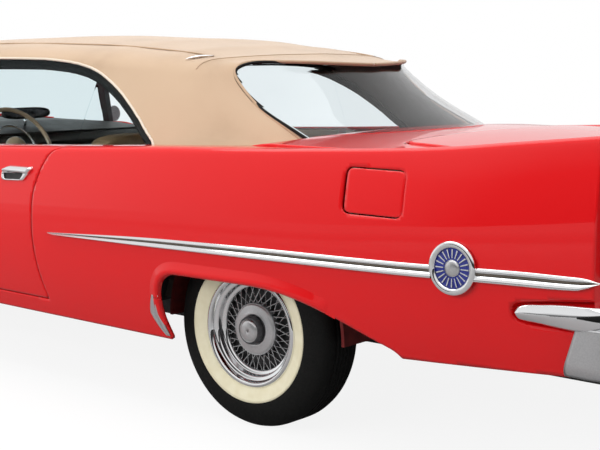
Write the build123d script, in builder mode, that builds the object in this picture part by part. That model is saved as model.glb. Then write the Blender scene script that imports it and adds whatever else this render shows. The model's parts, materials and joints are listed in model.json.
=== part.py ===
"""Two-door convertible of the late 1950s with tail fins and its fabric top raised.

Frame: X forward, Y to the left, Z up, origin on the ground under the middle of the car. Millimetres.
"""

import os
from collections import namedtuple
from math import cos, radians, sin

from build123d import *

os.makedirs("parts", exist_ok=True)

# Overall sizes
length = 5568.0
half_width = 990.0
wheelbase = length * 3200 / 5568
rear_overhang = length * 1428 / 5568
track_front = 2 * half_width - 426.0
track_rear = 2 * half_width - 461.0
# Longitudinal distances follow the length and cross-car ones the width
stretch = length / 5568
broad = half_width / 990

rear_x = -length / 2
front_x = length / 2
rear_axle_x = rear_x + rear_overhang
front_axle_x = rear_axle_x + wheelbase

# Gaps and clearances
panel_gap = 6.0
seat_clearance = 0.3
running_clearance = 0.06
everywhere = (-length, length)

# Wheels and tyres
tyre_radius = 345.0
tyre_half_width = 108.0
bead_radius = 190.0
hub_radius = 62.0
spindle_radius = 24.0
wheel_y_front = track_front / 2
wheel_y_rear = track_rear / 2
spoke_count = 20

# Body wall: inner face, fin ridge and skin
wall_inner_y = half_width - 150.0
ridge_width = 24.0
ridge_rise = 5.0
fin_base_run = 34.0
skin = 24.0

# Sills and door
sill_z = 283.0
door_bottom_z = 351.0
door_front_x = front_axle_x - 719.0 * stretch
door_front_gap = 8.0
fender_rear_x = door_front_x + door_front_gap
door_rear_x = rear_axle_x + 1014.0 * stretch

# Doors, hood and deck lid swing about these lines
hinge_setback = 80.0
hinge_inset = 17.0
hinge_pin_radius = 6.0
hinge_heights = (505.0, 675.0)
hinge_knuckle = 34.0

# Glass and top
glass = 6.0
fabric = 16.0
belt_glass_y = half_width - 118.0
roof_glass_y = half_width - 290.0
belt_glass_z = 920.0
roof_glass_z = 1276.0
window_rear_x = rear_axle_x + 499.0 * stretch

# Rear wheel opening and wheelhouse
wheelhouse_radius = 393.0
wheelhouse_wall = 12.0
wheelhouse_inner_y = wall_inner_y - 240.0
arch_pocket_y = half_width - 40.0
front_arch_radius = 405.0
front_arch_top = 318.0

# Chassis
rail_inner_y = 350.0 * broad
rail_width = 90.0
rail_depth = 90.0
rail_z = 230.0
floor_thickness = 15.0
floor_half = wall_inner_y - 40.0
toe_half = wall_inner_y - 154.0
tunnel_half = 140.0
tunnel_top = 470.0
apron = 12.0
kingpin_y = wheel_y_front - 87.0

# Steering wheel
dash_rear_x = front_axle_x - 1084.0 * stretch
steering_centre = (dash_rear_x - 240.0, 380.0 * broad, 862.0)
steering_radius = 203.0
steering_rake = 27.0
rim_thickness = 12.0


def export(part, name):
    """Names a finished piece and writes it as one node."""
    part.label = name
    export_step(part, f"parts/{name}.step")


def mirrored(part):
    """The same piece on the other side of the car."""
    with BuildPart() as other:
        mirror(part, about=Plane.XZ)
    return other.part


def block(x, y, z):
    """A plain block between pairs of limits, for cuts and simple pieces."""
    centre = ((x[0] + x[1]) / 2, (y[0] + y[1]) / 2, (z[0] + z[1]) / 2)
    with BuildPart() as made:
        with Locations(centre):
            Box(abs(x[1] - x[0]), abs(y[1] - y[0]), abs(z[1] - z[0]))
    return made.part


def plate(points, y):
    """A side profile, given as (x, z) corners, carried across the car between two y limits."""
    with BuildPart() as made:
        with BuildSketch(Plane.XZ.offset(-y[0])):
            with BuildLine():
                Polyline(*points, close=True)
            make_face()
        extrude(amount=y[0] - y[1])
    return made.part


# Body walls: one loft per side runs from the door's front edge to the tail and is cut into panels
Station = namedtuple("Station", "x sill_in sill_z bulge_in bulge_z crease_in crease_z base_z")
side_stations = [
    Station(fender_rear_x, 68, sill_z, 6, 590, 58, 884, 892),
    Station(rear_axle_x + 1700 * stretch, 60, sill_z, 0, 595, 50, 900, 909),
    Station(rear_axle_x + 930 * stretch, 55, sill_z, 0, 600, 44, 929, 938),
    Station(rear_axle_x + 350 * stretch, 55, sill_z, 0, 610, 43, 958, 966),
    Station(rear_axle_x - 300 * stretch, 55, 300, 0, 630, 45, 993, 990),
    Station(rear_axle_x - 800 * stretch, 58, 379, 3, 650, 47, 1023, 976),
    Station(rear_axle_x - 1100 * stretch, 63, 396, 12, 665, 51, 1055, 945),
    Station(rear_axle_x - 1360 * stretch, 76, 408, 27, 680, 60, 1083, 905),
]


def side_section(s):
    """One section of the left body wall: sill, bulge, crease, fin ridge, fin base and inner face."""
    sill = (half_width - s.sill_in, s.sill_z)
    bulge = (half_width - s.bulge_in, s.bulge_z)
    crease = (half_width - s.crease_in, s.crease_z)
    ridge = (crease[0] - ridge_width, crease[1] + ridge_rise)
    base = (ridge[0] - fin_base_run, s.base_z)
    with BuildSketch(Plane.YZ.offset(s.x)) as section:
        with BuildLine():
            ThreePointArc(sill, bulge, crease)
            Polyline(crease, ridge, base, (wall_inner_y, s.base_z), (wall_inner_y, s.sill_z), sill)
        make_face()
    return section.sketch


with BuildPart() as side_blank:
    loft(sections=[side_section(s) for s in side_stations], ruled=True)

# Rear edge of the door, from its foot up to the belt: two arcs that meet upright
cut_foot = (door_rear_x - 56, door_bottom_z)
cut_lower = (door_rear_x - 14, 500.0)
cut_middle = (door_rear_x, 680.0)
cut_upper = (door_rear_x - 24, 832.0)
cut_head = (door_rear_x - 118 * stretch, 960.0)


def door_outline(grow):
    """Side outline of the door opening, grown all round by a gap."""
    back = [(x - grow, z) for x, z in (cut_foot, cut_lower, cut_middle, cut_upper, cut_head)]
    back[0] = (back[0][0], door_bottom_z - grow)
    front = door_front_x if grow == 0 else fender_rear_x
    with BuildSketch(Plane.XZ) as outline:
        with BuildLine():
            ThreePointArc(back[0], back[1], back[2])
            ThreePointArc(back[2], back[3], back[4])
            Polyline(back[4], (front, back[4][1]), (front, back[0][1]), back[0])
        make_face()
    return outline.sketch


# Side windows: flat panes in one leaning plane, set in a slot along the belt
lean = (belt_glass_y - roof_glass_y) / (roof_glass_z - belt_glass_z)
belt_line = [(s.x, s.base_z) for s in side_stations[:4]]
glass_split_x = cut_head[0] + 4
window_front_x = door_front_x - 8
window_head = (window_rear_x + 798 * stretch, roof_glass_z - 2)
pane_depth = 26.0
pane_reach = 120.0


def belt_z(x):
    """Height of the wall's flat top beside the glass at a place along the car."""
    for (x0, z0), (x1, z1) in zip(belt_line, belt_line[1:]):
        if x >= x1:
            return z0 + (z1 - z0) * (x - x0) / (x1 - x0)
    return belt_line[-1][1]


def window_outline(depth, grow):
    """Side opening of both panes: the foot follows the belt, the rear edge sweeps up under the top."""
    foot = [(x, belt_z(x) - depth) for x, z in belt_line[1:3]]
    rear = (window_rear_x - grow, belt_z(window_rear_x) - depth)
    knee = (glass_split_x - grow * 0.7, roof_glass_z - 59 + grow * 0.7)
    head = (window_head[0], window_head[1] + grow)
    front = (window_front_x + grow, belt_z(door_front_x) - depth)
    with BuildSketch(Plane.XZ) as outline:
        with BuildLine():
            bend = (window_rear_x + 150 * stretch - grow * 0.7, roof_glass_z - 198 + grow * 0.7)
            ThreePointArc(rear, bend, knee)
            ThreePointArc(knee, (knee[0] + 205, knee[1] + 43), head)
            Polyline(head, (window_front_x - 72 * stretch + grow, head[1]), front)
            Polyline(front, *foot, rear)
        make_face()
    return outline.sketch


def leaning_pane(outline, thickness, outward):
    """A flat pane cut to a side outline; it leans in with height."""
    low, high = belt_glass_z - pane_reach, roof_glass_z + pane_reach
    foot = belt_glass_y + lean * pane_reach + outward
    head = roof_glass_y - lean * pane_reach + outward
    with BuildPart() as pane:
        with BuildSketch(Plane.YZ.offset(window_rear_x - skin)):
            with BuildLine():
                Polyline(
                    (foot, low), (head, high), (head - thickness, high), (foot - thickness, low), close=True
                )
            make_face()
        extrude(amount=window_front_x - window_rear_x + 4 * skin)
        extrude(outline, amount=half_width, both=True, mode=Mode.INTERSECT)
    return pane.part


side_pane = leaning_pane(window_outline(pane_depth, 0), glass, 0)
pane_slot = leaning_pane(
    window_outline(pane_depth + 2, skin), glass + 2 * seat_clearance, seat_clearance
)
with BuildPart() as door_pane:
    add(side_pane)
    add(block((-length, glass_split_x), everywhere, everywhere), mode=Mode.SUBTRACT)
with BuildPart() as quarter_pane:
    add(side_pane)
    add(block((glass_split_x - panel_gap, length), everywhere, everywhere), mode=Mode.SUBTRACT)

# Door: wall as thick as the whole door, with glass slot and hinge notches
hinge_x = door_front_x - hinge_setback
hinge_y = half_width - hinge_inset - side_stations[0].bulge_in

with BuildPart() as door_left:
    add(side_blank.part)
    extrude(door_outline(0), amount=half_width + skin, both=True, mode=Mode.INTERSECT)
    add(pane_slot, mode=Mode.SUBTRACT)
    for z in hinge_heights:
        notch_low, notch_high = z - hinge_knuckle / 2 - panel_gap, z + hinge_knuckle / 2 + panel_gap
        add(
            block(
                (hinge_x - hinge_pin_radius - panel_gap, door_front_x + skin),
                (wall_inner_y - skin, hinge_y + hinge_pin_radius + 2),
                (notch_low, notch_high),
            ),
            mode=Mode.SUBTRACT,
        )

export(door_left.part, "door_left")
export(mirrored(door_left.part), "door_right")
export(door_pane.part, "door_glass_left")
export(mirrored(door_pane.part), "door_glass_right")

# Rear bumper: a blade that wraps round the tail and a deep apron below it, drawn in plan
blade_z = (553.0, 618.0)
blade_tip_x = rear_x + 314.0 * stretch
blade_thick = 40.0
apron_z = (430.0, 549.0)
apron_front_x = rear_x + 140.0 * stretch
apron_y = half_width - 26.0
apron_rear_x = rear_x + 14.0


def wrap_band(tip_x, side_y, back_x, corner, thick, z, tip_taper):
    """Left half of a band that runs back along the side, round the corner and across the tail."""
    with BuildPart() as band:
        with BuildSketch(Plane.XY.offset(z[0])):
            with BuildLine():
                Line((tip_x, side_y - tip_taper), (tip_x - 3 * tip_taper, side_y))
                Line((tip_x - 3 * tip_taper, side_y), (back_x + corner, side_y))
                RadiusArc((back_x + corner, side_y), (back_x, side_y - corner), -corner)
                Polyline((back_x, side_y - corner), (back_x, 0), (back_x + thick, 0))
                Line((back_x + thick, 0), (back_x + thick, side_y - corner))
                RadiusArc(
                    (back_x + thick, side_y - corner), (back_x + corner, side_y - thick), corner - thick
                )
                Line((back_x + corner, side_y - thick), (tip_x, side_y - thick))
                Line((tip_x, side_y - thick), (tip_x, side_y - tip_taper))
            make_face()
        extrude(amount=z[1] - z[0])
    return band.part


blade_half = wrap_band(blade_tip_x, half_width, rear_x, 120.0, blade_thick, blade_z, 16.0)
apron_half = wrap_band(
    apron_front_x, apron_y, apron_rear_x, 100.0, blade_thick, (apron_z[0], blade_z[0]), 0.01
)
blade_room = wrap_band(
    blade_tip_x + panel_gap, half_width + panel_gap, rear_x - panel_gap, 120.0,
    blade_thick + 2 * panel_gap, (blade_z[0] - panel_gap, blade_z[1] + panel_gap), 16.0,
)
with BuildPart() as rear_bumper:
    add(blade_half)
    add(apron_half)
    mirror(about=Plane.XZ)
export(rear_bumper.part, "rear_bumper")

# Rear quarter: wheel opening, wheel pocket, fuel door recess, glass slot
# and bumper seat are cut from the wall
arch_front_x = rear_axle_x + 326.0 * stretch
arch_top_z = 534.0
arch_rear_top_x = rear_axle_x - 290.0 * stretch
arch_foot = (rear_axle_x - 707.0 * stretch, 340.0)
fuel_door_x = (rear_axle_x - 727.0 * stretch, rear_axle_x - 507.0 * stretch)
fuel_door_z = (814.0, 950.0)
fuel_door_thick = 14.0


def arch_outline():
    """Rear wheel opening: rounded front corner, flat top and a long slant to the tail."""
    with BuildSketch(Plane.XZ) as outline:
        with BuildLine():
            Polyline(
                (arch_front_x - 50, sill_z - 60),
                (arch_front_x, 380),
                (arch_front_x, arch_top_z),
                (arch_rear_top_x, arch_top_z + 6),
                arch_foot,
                (arch_foot[0] - 200, sill_z - 60),
                close=True,
            )
        make_face()
        corner = outline.vertices().filter_by_position(Axis.X, arch_front_x - 1, arch_front_x + 1)
        fillet(corner.sort_by(Axis.Y)[-1], radius=105)
        slope = outline.vertices().filter_by_position(Axis.X, arch_rear_top_x - 1, arch_rear_top_x + 1)
        fillet(slope, radius=260)
    return outline.sketch


fuel_door_mid = ((fuel_door_x[0] + fuel_door_x[1]) / 2, (fuel_door_z[0] + fuel_door_z[1]) / 2)
fuel_door_size = (fuel_door_x[1] - fuel_door_x[0], fuel_door_z[1] - fuel_door_z[0])
fuel_pocket_y = half_width - 110.0
fuel_pin_radius = 3.0
fuel_pin_setback = 8.0
fuel_pin_depth = 10.0


def arc_y(s, z):
    """Half width of one wall section at a height, from the circle through its sill, bulge and crease."""
    (y0, z0), (y1, z1), (y2, z2) = (
        (half_width - s.sill_in, s.sill_z),
        (half_width - s.bulge_in, s.bulge_z),
        (half_width - s.crease_in, s.crease_z),
    )
    d = 2 * (y0 * (z1 - z2) + y1 * (z2 - z0) + y2 * (z0 - z1))
    q0, q1, q2 = y0**2 + z0**2, y1**2 + z1**2, y2**2 + z2**2
    cy = (q0 * (z1 - z2) + q1 * (z2 - z0) + q2 * (z0 - z1)) / d
    cz = (q0 * (y2 - y1) + q1 * (y0 - y2) + q2 * (y1 - y0)) / d
    return cy + ((y1 - cy) ** 2 + (z1 - cz) ** 2 - (z - cz) ** 2) ** 0.5


def wall_y(x, z):
    """Half width of the body wall at a place along the car and a height."""
    for s, t in zip(side_stations, side_stations[1:]):
        if x >= t.x:
            share = (s.x - x) / (s.x - t.x)
            return arc_y(s, z) * (1 - share) + arc_y(t, z) * share
    return arc_y(side_stations[-1], z)


def fuel_door_outline(grow):
    """Rounded rectangle of the fuel door in side view."""
    with BuildSketch(Plane.XZ) as outline:
        with Locations(fuel_door_mid):
            RectangleRounded(fuel_door_size[0] + 2 * grow, fuel_door_size[1] + 2 * grow, 18)
    return outline.sketch


# The fuel door turns on two pins in its upper and lower edges, along a line that leans with the wall
fuel_pin_x = fuel_door_x[1] - fuel_pin_setback
fuel_pin_ends = [
    (fuel_pin_x, wall_y(fuel_pin_x, z) - fuel_door_thick / 2, z) for z in (fuel_door_z[0], fuel_door_z[1])
]


def fuel_pins(radius, reach):
    """The two pins, or the room for them, from the opening's edges into the door."""
    low, high = Vector(*fuel_pin_ends[0]), Vector(*fuel_pin_ends[1])
    along = (high - low).normalized()
    with BuildPart() as pins:
        for end, way in ((low, along), (high, -along)):
            with BuildSketch(Plane(origin=end + way * reach, x_dir=(1, 0, 0), z_dir=tuple(-way))):
                Circle(radius)
            extrude(amount=reach + panel_gap + 2 * fuel_pin_depth)
    return pins.part


with BuildPart() as fuel_door:
    add(side_blank.part)
    extrude(fuel_door_outline(0), amount=half_width + skin, both=True, mode=Mode.INTERSECT)
    add(side_blank.part.moved(Location((0, -fuel_door_thick, 0))), mode=Mode.SUBTRACT)
    add(fuel_pins(fuel_pin_radius + running_clearance, fuel_pin_depth + 1), mode=Mode.SUBTRACT)
export(fuel_door.part, "fuel_door")

with BuildPart() as quarter_blank:
    add(side_blank.part)
    extrude(door_outline(panel_gap), amount=half_width + skin, both=True, mode=Mode.SUBTRACT)
    extrude(arch_outline(), amount=half_width + skin, both=True, mode=Mode.SUBTRACT)
    with BuildSketch(Plane.XZ.offset(-arch_pocket_y)):
        with Locations((rear_axle_x, tyre_radius)):
            Circle(wheelhouse_radius)
    extrude(amount=arch_pocket_y, mode=Mode.SUBTRACT)
    add(pane_slot, mode=Mode.SUBTRACT)
    add(blade_room, mode=Mode.SUBTRACT)
    add(
        block((rear_x, apron_front_x), (0, half_width + skin), (sill_z, blade_z[0])),
        mode=Mode.SUBTRACT,
    )

with BuildPart() as quarter_left:
    add(quarter_blank.part)
    with BuildPart(mode=Mode.PRIVATE) as fuel_pocket:
        extrude(fuel_door_outline(panel_gap), amount=-half_width - skin)
        add(block(everywhere, (0, fuel_pocket_y), everywhere), mode=Mode.SUBTRACT)
    add(fuel_pocket.part, mode=Mode.SUBTRACT)
    add(fuel_pins(fuel_pin_radius, fuel_pin_depth))
export(quarter_left.part, "rear_quarter_left")
export(mirrored(quarter_blank.part), "rear_quarter_right")

# Windscreen posts rise from the hinge pillars and lean in to the header
post_foot = (door_front_x + 45.0, half_width - 220.0, 850.0)
post_head = (door_front_x - 2.0, 655.0 * broad, 1272.0)
post_size = (44.0, 34.0)


def post_shape(grow):
    """Left windscreen post, a straight taper from pillar to header."""
    with BuildPart() as post:
        with BuildSketch(Plane.XY.offset(post_foot[2])) as foot:
            with Locations(post_foot[:2]):
                Rectangle(post_size[0] + 2 * grow, post_size[1] + 2 * grow)
        with BuildSketch(Plane.XY.offset(post_head[2])) as head:
            with Locations(post_head[:2]):
                Rectangle(post_size[0] + 2 * grow, post_size[1] + 2 * grow)
        loft(sections=[foot.sketch, head.sketch], ruled=True)
    return post.part


# Front fenders: a skin over the front wheel, open inside and below
Fender = namedtuple("Fender", "x sill_in sill_z bulge_in bulge_z crease_in crease_z top_z")
fender_front_x = front_x - 100.0
hood_edge_y = wall_inner_y - 134.0
fender_inner_y = hood_edge_y + panel_gap
fender_stations = [
    Fender(fender_rear_x, 68, sill_z, 6, 590, 58, 884, 914),
    Fender(front_axle_x - 300 * stretch, 62, 300, 4, 590, 60, 878, 908),
    Fender(front_axle_x, 60, 330, 6, 585, 66, 870, 896),
    Fender(front_axle_x + 420 * stretch, 72, 385, 20, 580, 82, 858, 876),
    Fender(fender_front_x, 110, 430, 62, 570, 112, 838, 842),
]


def fender_section(s, inset):
    """One section of the left fender; an inset section is the hollow inside the skin."""
    sill = (half_width - s.sill_in - inset, s.sill_z - 3 * inset)
    bulge = (half_width - s.bulge_in - inset, s.bulge_z)
    crease = (half_width - s.crease_in - inset, s.crease_z - inset)
    inner = fender_inner_y - 2 * inset
    with BuildSketch(Plane.YZ.offset(s.x)) as section:
        with BuildLine():
            ThreePointArc(sill, bulge, crease)
            Polyline(crease, (inner, s.top_z - inset), (inner, s.sill_z - 3 * inset), sill)
        make_face()
    return section.sketch


with BuildPart() as front_arch:
    with BuildSketch(Plane.XZ):
        with Locations((front_axle_x, tyre_radius)):
            Circle(front_arch_radius)
        with Locations((front_axle_x, tyre_radius + front_arch_top + length / 2)):
            Rectangle(length, length, mode=Mode.SUBTRACT)
    extrude(amount=half_width + skin, both=True)

with BuildPart() as fender_hollow:
    loft(sections=[fender_section(s, skin) for s in fender_stations], ruled=True)
    add(block((fender_front_x - skin, front_x), everywhere, everywhere), mode=Mode.SUBTRACT)

# Four headlamps in two pods that stand in the fenders' front ends
lamp_radius = 74.0
lamp_pitch = 160.0
lamp_y = 690.0
lamp_z = 700.0
lamp_depth = 60.0
lamp_spots = [(lamp_y, lamp_z), (lamp_y + lamp_pitch, lamp_z)]
pod_plane = Plane.YZ.offset(fender_front_x)

with BuildPart() as fender_left:
    loft(sections=[fender_section(s, 0) for s in fender_stations], ruled=True)
    add(fender_hollow.part, mode=Mode.SUBTRACT)
    add(front_arch.part, mode=Mode.SUBTRACT)
    add(post_shape(panel_gap / 2), mode=Mode.SUBTRACT)
export(fender_left.part, "front_fender_left")
export(mirrored(fender_left.part), "front_fender_right")

with BuildPart() as headlamps:
    with BuildSketch(pod_plane):
        with Locations((lamp_y + lamp_pitch / 2, lamp_z)):
            SlotCenterToCenter(lamp_pitch, 2 * lamp_radius + 26)
    extrude(amount=lamp_depth)
    with BuildSketch(pod_plane.offset(lamp_depth)):
        with Locations(*lamp_spots):
            Circle(lamp_radius)
    extrude(amount=-24, mode=Mode.SUBTRACT)
    with BuildSketch(pod_plane.offset(lamp_depth - 24)):
        with Locations(*lamp_spots):
            Circle(lamp_radius - 6)
    extrude(amount=14, taper=22)
    mirror(about=Plane.XZ)
export(headlamps.part, "headlamps")

# Hood, cowl and deck share one kind of section: a crowned sheet across the car
Crown = namedtuple("Crown", "x edge_y edge_z crown_z")
sheet = 26.0


def crowned(stations, thick=sheet):
    """A sheet lofted through crowned sections; a thick one is the room below the sheet."""
    sections = []
    for s in stations:
        with BuildSketch(Plane.YZ.offset(s.x)) as section:
            with BuildLine():
                ThreePointArc((-s.edge_y, s.edge_z), (0, s.crown_z), (s.edge_y, s.edge_z))
                Line((s.edge_y, s.edge_z), (s.edge_y, s.edge_z - thick))
                ThreePointArc(
                    (s.edge_y, s.edge_z - thick), (0, s.crown_z - thick), (-s.edge_y, s.edge_z - thick)
                )
                Line((-s.edge_y, s.edge_z - thick), (-s.edge_y, s.edge_z))
            make_face()
        sections.append(section.sketch)
    with BuildPart() as made:
        loft(sections=sections, ruled=True)
    return made.part


hood_rear_x = front_axle_x - 284.0 * stretch
hood_front_x = front_x - 110.0
hood_gap = 14.0
hood_sheet = crowned([
    Crown(hood_rear_x, hood_edge_y, 908, 938),
    Crown(front_axle_x + 60, hood_edge_y, 893, 926),
    Crown(front_axle_x + 450 * stretch, hood_edge_y, 874, 906),
    Crown(hood_front_x, hood_edge_y, 842, 868),
])

# Hood and boot lid hang on curved arms that turn on pins under the neighbouring panel
Arm = namedtuple("Arm", "x z reach facing y rise")
pin_radius = 7.0
eye_radius = 11.0
arm_width = 18.0
arm_plate = 12.0
bracket_plate = 14.0
hood_arm = Arm(hood_rear_x - 150.0, 872.0, 162.0, 1, hood_edge_y - 106.0, 24.0)
lid_front_x = rear_axle_x - 480.0 * stretch
lid_half = wall_inner_y - 200.0
lid_arm = Arm(lid_front_x + 212.0, 950.0, 220.0, -1, lid_half - 78.0, 26.0)


def curved_arm(a):
    """Left arm: an eye on the pin, a leg down from it and a quarter ring out to the panel's underside."""
    outer = a.reach + arm_width
    with BuildPart() as arm:
        with BuildSketch(Plane.XZ.offset(-a.y)):
            with Locations((a.x, a.z)):
                Circle(outer)
                Circle(a.reach, mode=Mode.SUBTRACT)
            with Locations((a.x + a.facing * outer / 2, a.z + (a.rise - outer) / 2)):
                Rectangle(outer, outer + a.rise, mode=Mode.INTERSECT)
            with Locations((a.x, a.z - outer / 2)):
                Rectangle(arm_width, outer)
            with Locations((a.x, a.z)):
                Circle(eye_radius)
                Circle(pin_radius + running_clearance, mode=Mode.SUBTRACT)
        extrude(amount=-arm_plate)
    return arm.part


def arm_pin(a):
    """Pin of the left arm, from just inside the arm to its bracket."""
    with BuildPart() as pin:
        with BuildSketch(Plane.XZ.offset(-a.y + 2)):
            with Locations((a.x, a.z)):
                Circle(pin_radius)
        extrude(amount=-arm_plate - 8)
    return pin.part


with BuildPart() as hood:
    add(hood_sheet)
    add(curved_arm(hood_arm))
    mirror(curved_arm(hood_arm), about=Plane.XZ)
export(hood.part, "hood")

# Cowl: the panel ahead of the windscreen, the firewall under it and the door hinge pillars
firewall_x = hood_rear_x - 190.0
cowl_rear_x = door_front_x - 60.0
cowl_front_x = hood_rear_x - hood_gap
pillar_y = (wall_inner_y - 105.0, wall_inner_y - 34.0)
pillar_x = (fender_rear_x + 4, fender_rear_x + 70.0 * stretch)

with BuildPart() as cowl:
    add(crowned([
        Crown(cowl_front_x, hood_edge_y, 908, 939),
        Crown(fender_rear_x, hood_edge_y, 914, 946),
        Crown(cowl_rear_x, hood_edge_y, 914, 946),
    ]))
    add(block((firewall_x, firewall_x + skin), (-hood_edge_y, hood_edge_y), (tunnel_top, 905)))
    for side in (1, -1):
        near_y = hood_arm.y + arm_plate + 4
        bracket_y = (side * near_y, side * (near_y + bracket_plate))
        bracket_z = (hood_arm.z - eye_radius, hood_arm.z + eye_radius)
        add(block((firewall_x, hood_arm.x + eye_radius), bracket_y, bracket_z))
        add(arm_pin(hood_arm) if side == 1 else mirrored(arm_pin(hood_arm)))
        add(block(pillar_x, (side * pillar_y[0], side * pillar_y[1]), (345, 850)))
        web_y = (side * (pillar_y[0] - 45), side * pillar_y[0])
        add(block((pillar_x[0], firewall_x + skin), web_y, (380, 850)))
        for z in hinge_heights:
            knuckle = (z - hinge_knuckle / 2, z + hinge_knuckle / 2)
            arm_x = (hinge_x - hinge_pin_radius, hinge_x + hinge_pin_radius)
            add(block(arm_x, (side * (pillar_y[1] - skin), side * hinge_y), knuckle))
            add(block((arm_x[0], pillar_x[1]), (side * (pillar_y[1] - skin), side * pillar_y[1]), knuckle))
            with Locations((hinge_x, side * hinge_y, z)):
                Cylinder(hinge_pin_radius, hinge_knuckle)
export(cowl.part, "cowl")

# Rear deck: one crowned sheet, with the lid cut out of it, and the tail panel that closes the boot
deck_stations = [
    Crown(rear_axle_x + 120 * stretch, wall_inner_y, 948, 956),
    Crown(rear_axle_x - 90 * stretch, wall_inner_y, 984, 1004),
    Crown(rear_axle_x - 440 * stretch, wall_inner_y, 984, 1010),
    Crown(rear_axle_x - 800 * stretch, wall_inner_y, 970, 994),
    Crown(rear_axle_x - 1100 * stretch, wall_inner_y, 940, 962),
    Crown(rear_axle_x - 1330 * stretch, wall_inner_y, 900, 918),
]
lid_x = (rear_axle_x - 1250.0 * stretch, lid_front_x)
tail_panel_x = (rear_axle_x - 1330.0 * stretch, rear_axle_x - 1300.0 * stretch)
deck_blank = crowned(deck_stations)


lid_front_gap = 12.0


def lid_outline(grow, front):
    """Plan outline of the boot lid, grown by a gap at its sides and rear and by another at its front."""
    low, high = lid_x[0] - grow, lid_x[1] + front
    with BuildSketch(Plane.XY) as outline:
        with Locations(((low + high) / 2, 0)):
            RectangleRounded(high - low, 2 * (lid_half + grow), 70 + grow)
    return outline.sketch


with BuildPart() as trunk_lid:
    add(deck_blank)
    extrude(lid_outline(0, 0), amount=length, mode=Mode.INTERSECT)
    add(curved_arm(lid_arm))
    mirror(curved_arm(lid_arm), about=Plane.XZ)
export(trunk_lid.part, "trunk_lid")

with BuildPart() as deck_panel:
    add(deck_blank)
    extrude(lid_outline(panel_gap, lid_front_gap), amount=length, mode=Mode.SUBTRACT)
    for side in (1, -1):
        near_y = lid_arm.y + arm_plate + 4
        bracket_x = (lid_arm.x - eye_radius, lid_arm.x + eye_radius)
        bracket_y = (side * near_y, side * (near_y + bracket_plate))
        add(block(bracket_x, bracket_y, (lid_arm.z - eye_radius, lid_arm.z + 32)))
        add(arm_pin(lid_arm) if side == 1 else mirrored(arm_pin(lid_arm)))
    add(block(tail_panel_x, (-wall_inner_y, wall_inner_y), (apron_z[0] + 10, 890)))
export(deck_panel.part, "deck_panel")

# Soft top: a fabric shell over the cabin, cut away for the side windows and the wrapped rear window
Top = namedtuple("Top", "x base_y base_z edge_y edge_z crown_z")
top_front_x = door_front_x - 25.0
top_stations = [
    Top(top_front_x, 858, 880, 668, 1290, 1352),
    Top(rear_axle_x + 1750 * stretch, 866, 880, 690, 1306, 1380),
    Top(rear_axle_x + 1000 * stretch, 866, 900, 680, 1300, 1372),
    Top(rear_axle_x + 716 * stretch, 862, 915, 668, 1290, 1346),
    Top(rear_axle_x + 450 * stretch, 836, 935, 606, 1262, 1312),
    Top(rear_axle_x + 250 * stretch, 762, 958, 520, 1196, 1281),
    Top(rear_axle_x + 120 * stretch, 677, 960, 470, 1132, 1258),
    Top(rear_axle_x - 25, 600, 966, 410, 1080, 1160),
    Top(rear_axle_x - 145 * stretch, 510, 975, 345, 1042, 1091),
    Top(rear_axle_x - 245 * stretch, 388, 980, 265, 1015, 1043),
    Top(rear_axle_x - 325 * stretch, 214, 985, 140, 996, 1005),
]


def top_section(s, inset):
    """One hoop of the top: leaning sides, rounded edges and a crowned roof."""
    drop = 3 * inset
    base = (s.base_y * broad - inset, s.base_z - drop)
    edge = (s.edge_y * broad - inset, s.edge_z - inset)
    with BuildSketch(Plane.YZ.offset(s.x)) as section:
        with BuildLine():
            Polyline((-edge[0], edge[1]), (-base[0], base[1]), base, edge)
            ThreePointArc(edge, (0, s.crown_z - inset), (-edge[0], edge[1]))
        make_face()
    return section.sketch


def top_shell(outer, inner):
    """The shell between two insets of the top's form, open below and at the front."""
    with BuildPart() as shell:
        loft(sections=[top_section(s, outer) for s in top_stations], ruled=True)
        with BuildPart(mode=Mode.PRIVATE) as hollow:
            loft(sections=[top_section(s, inner) for s in top_stations], ruled=True)
        add(hollow.part, mode=Mode.SUBTRACT)
    return shell.part


deck_room = crowned(deck_stations, 300.0)
backlight_top = (rear_axle_x + 368.0 * stretch, 1254.0)
backlight_foot = (rear_axle_x - 25.0, 975.0)


def backlight_outline(grow):
    """Side outline of the rear window: everything behind and below its rounded upper front corner."""
    top, foot = backlight_top, backlight_foot
    with BuildSketch(Plane.XZ) as outline:
        with BuildLine():
            Polyline(
                (top[0] + grow, top[1] + grow),
                (foot[0] + grow, foot[1]),
                (foot[0] + grow, foot[1] - 100),
                (rear_x, foot[1] - 100),
                (rear_x, top[1] + grow),
                close=True,
            )
        make_face()
        fillet(outline.vertices().sort_by(Axis.X)[-1], radius=40)
    return outline.sketch


seal = 14.0
with BuildPart() as soft_top:
    add(top_shell(0, fabric))
    extrude(window_outline(pane_depth + 60, seal), amount=half_width, both=True, mode=Mode.SUBTRACT)
    extrude(backlight_outline(0), amount=half_width, both=True, mode=Mode.SUBTRACT)
    add(deck_room, mode=Mode.SUBTRACT)
    add(side_blank.part, mode=Mode.SUBTRACT)
    mirror(side_blank.part, about=Plane.XZ, mode=Mode.SUBTRACT)
export(soft_top.part, "soft_top")

with BuildPart() as rear_glass:
    add(top_shell(fabric / 3, fabric / 3 + glass))
    extrude(backlight_outline(-seat_clearance), amount=half_width, both=True, mode=Mode.INTERSECT)
    add(deck_room, mode=Mode.SUBTRACT)

# Windscreen: posts, header rail against the top's front edge, and a wrapped pane between them
header_depth = 52.0
header_rail = 34.0
header_x = top_front_x + 0.3
screen_foot = (post_foot[0] + 8.0, post_foot[1] - 18.0, front_axle_x - 350.0 * stretch)
screen_head = (post_head[0] + 8.0, post_head[1] - 7.0, door_front_x + 30.0)
screen_z = (860.0, 1330.0)


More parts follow.
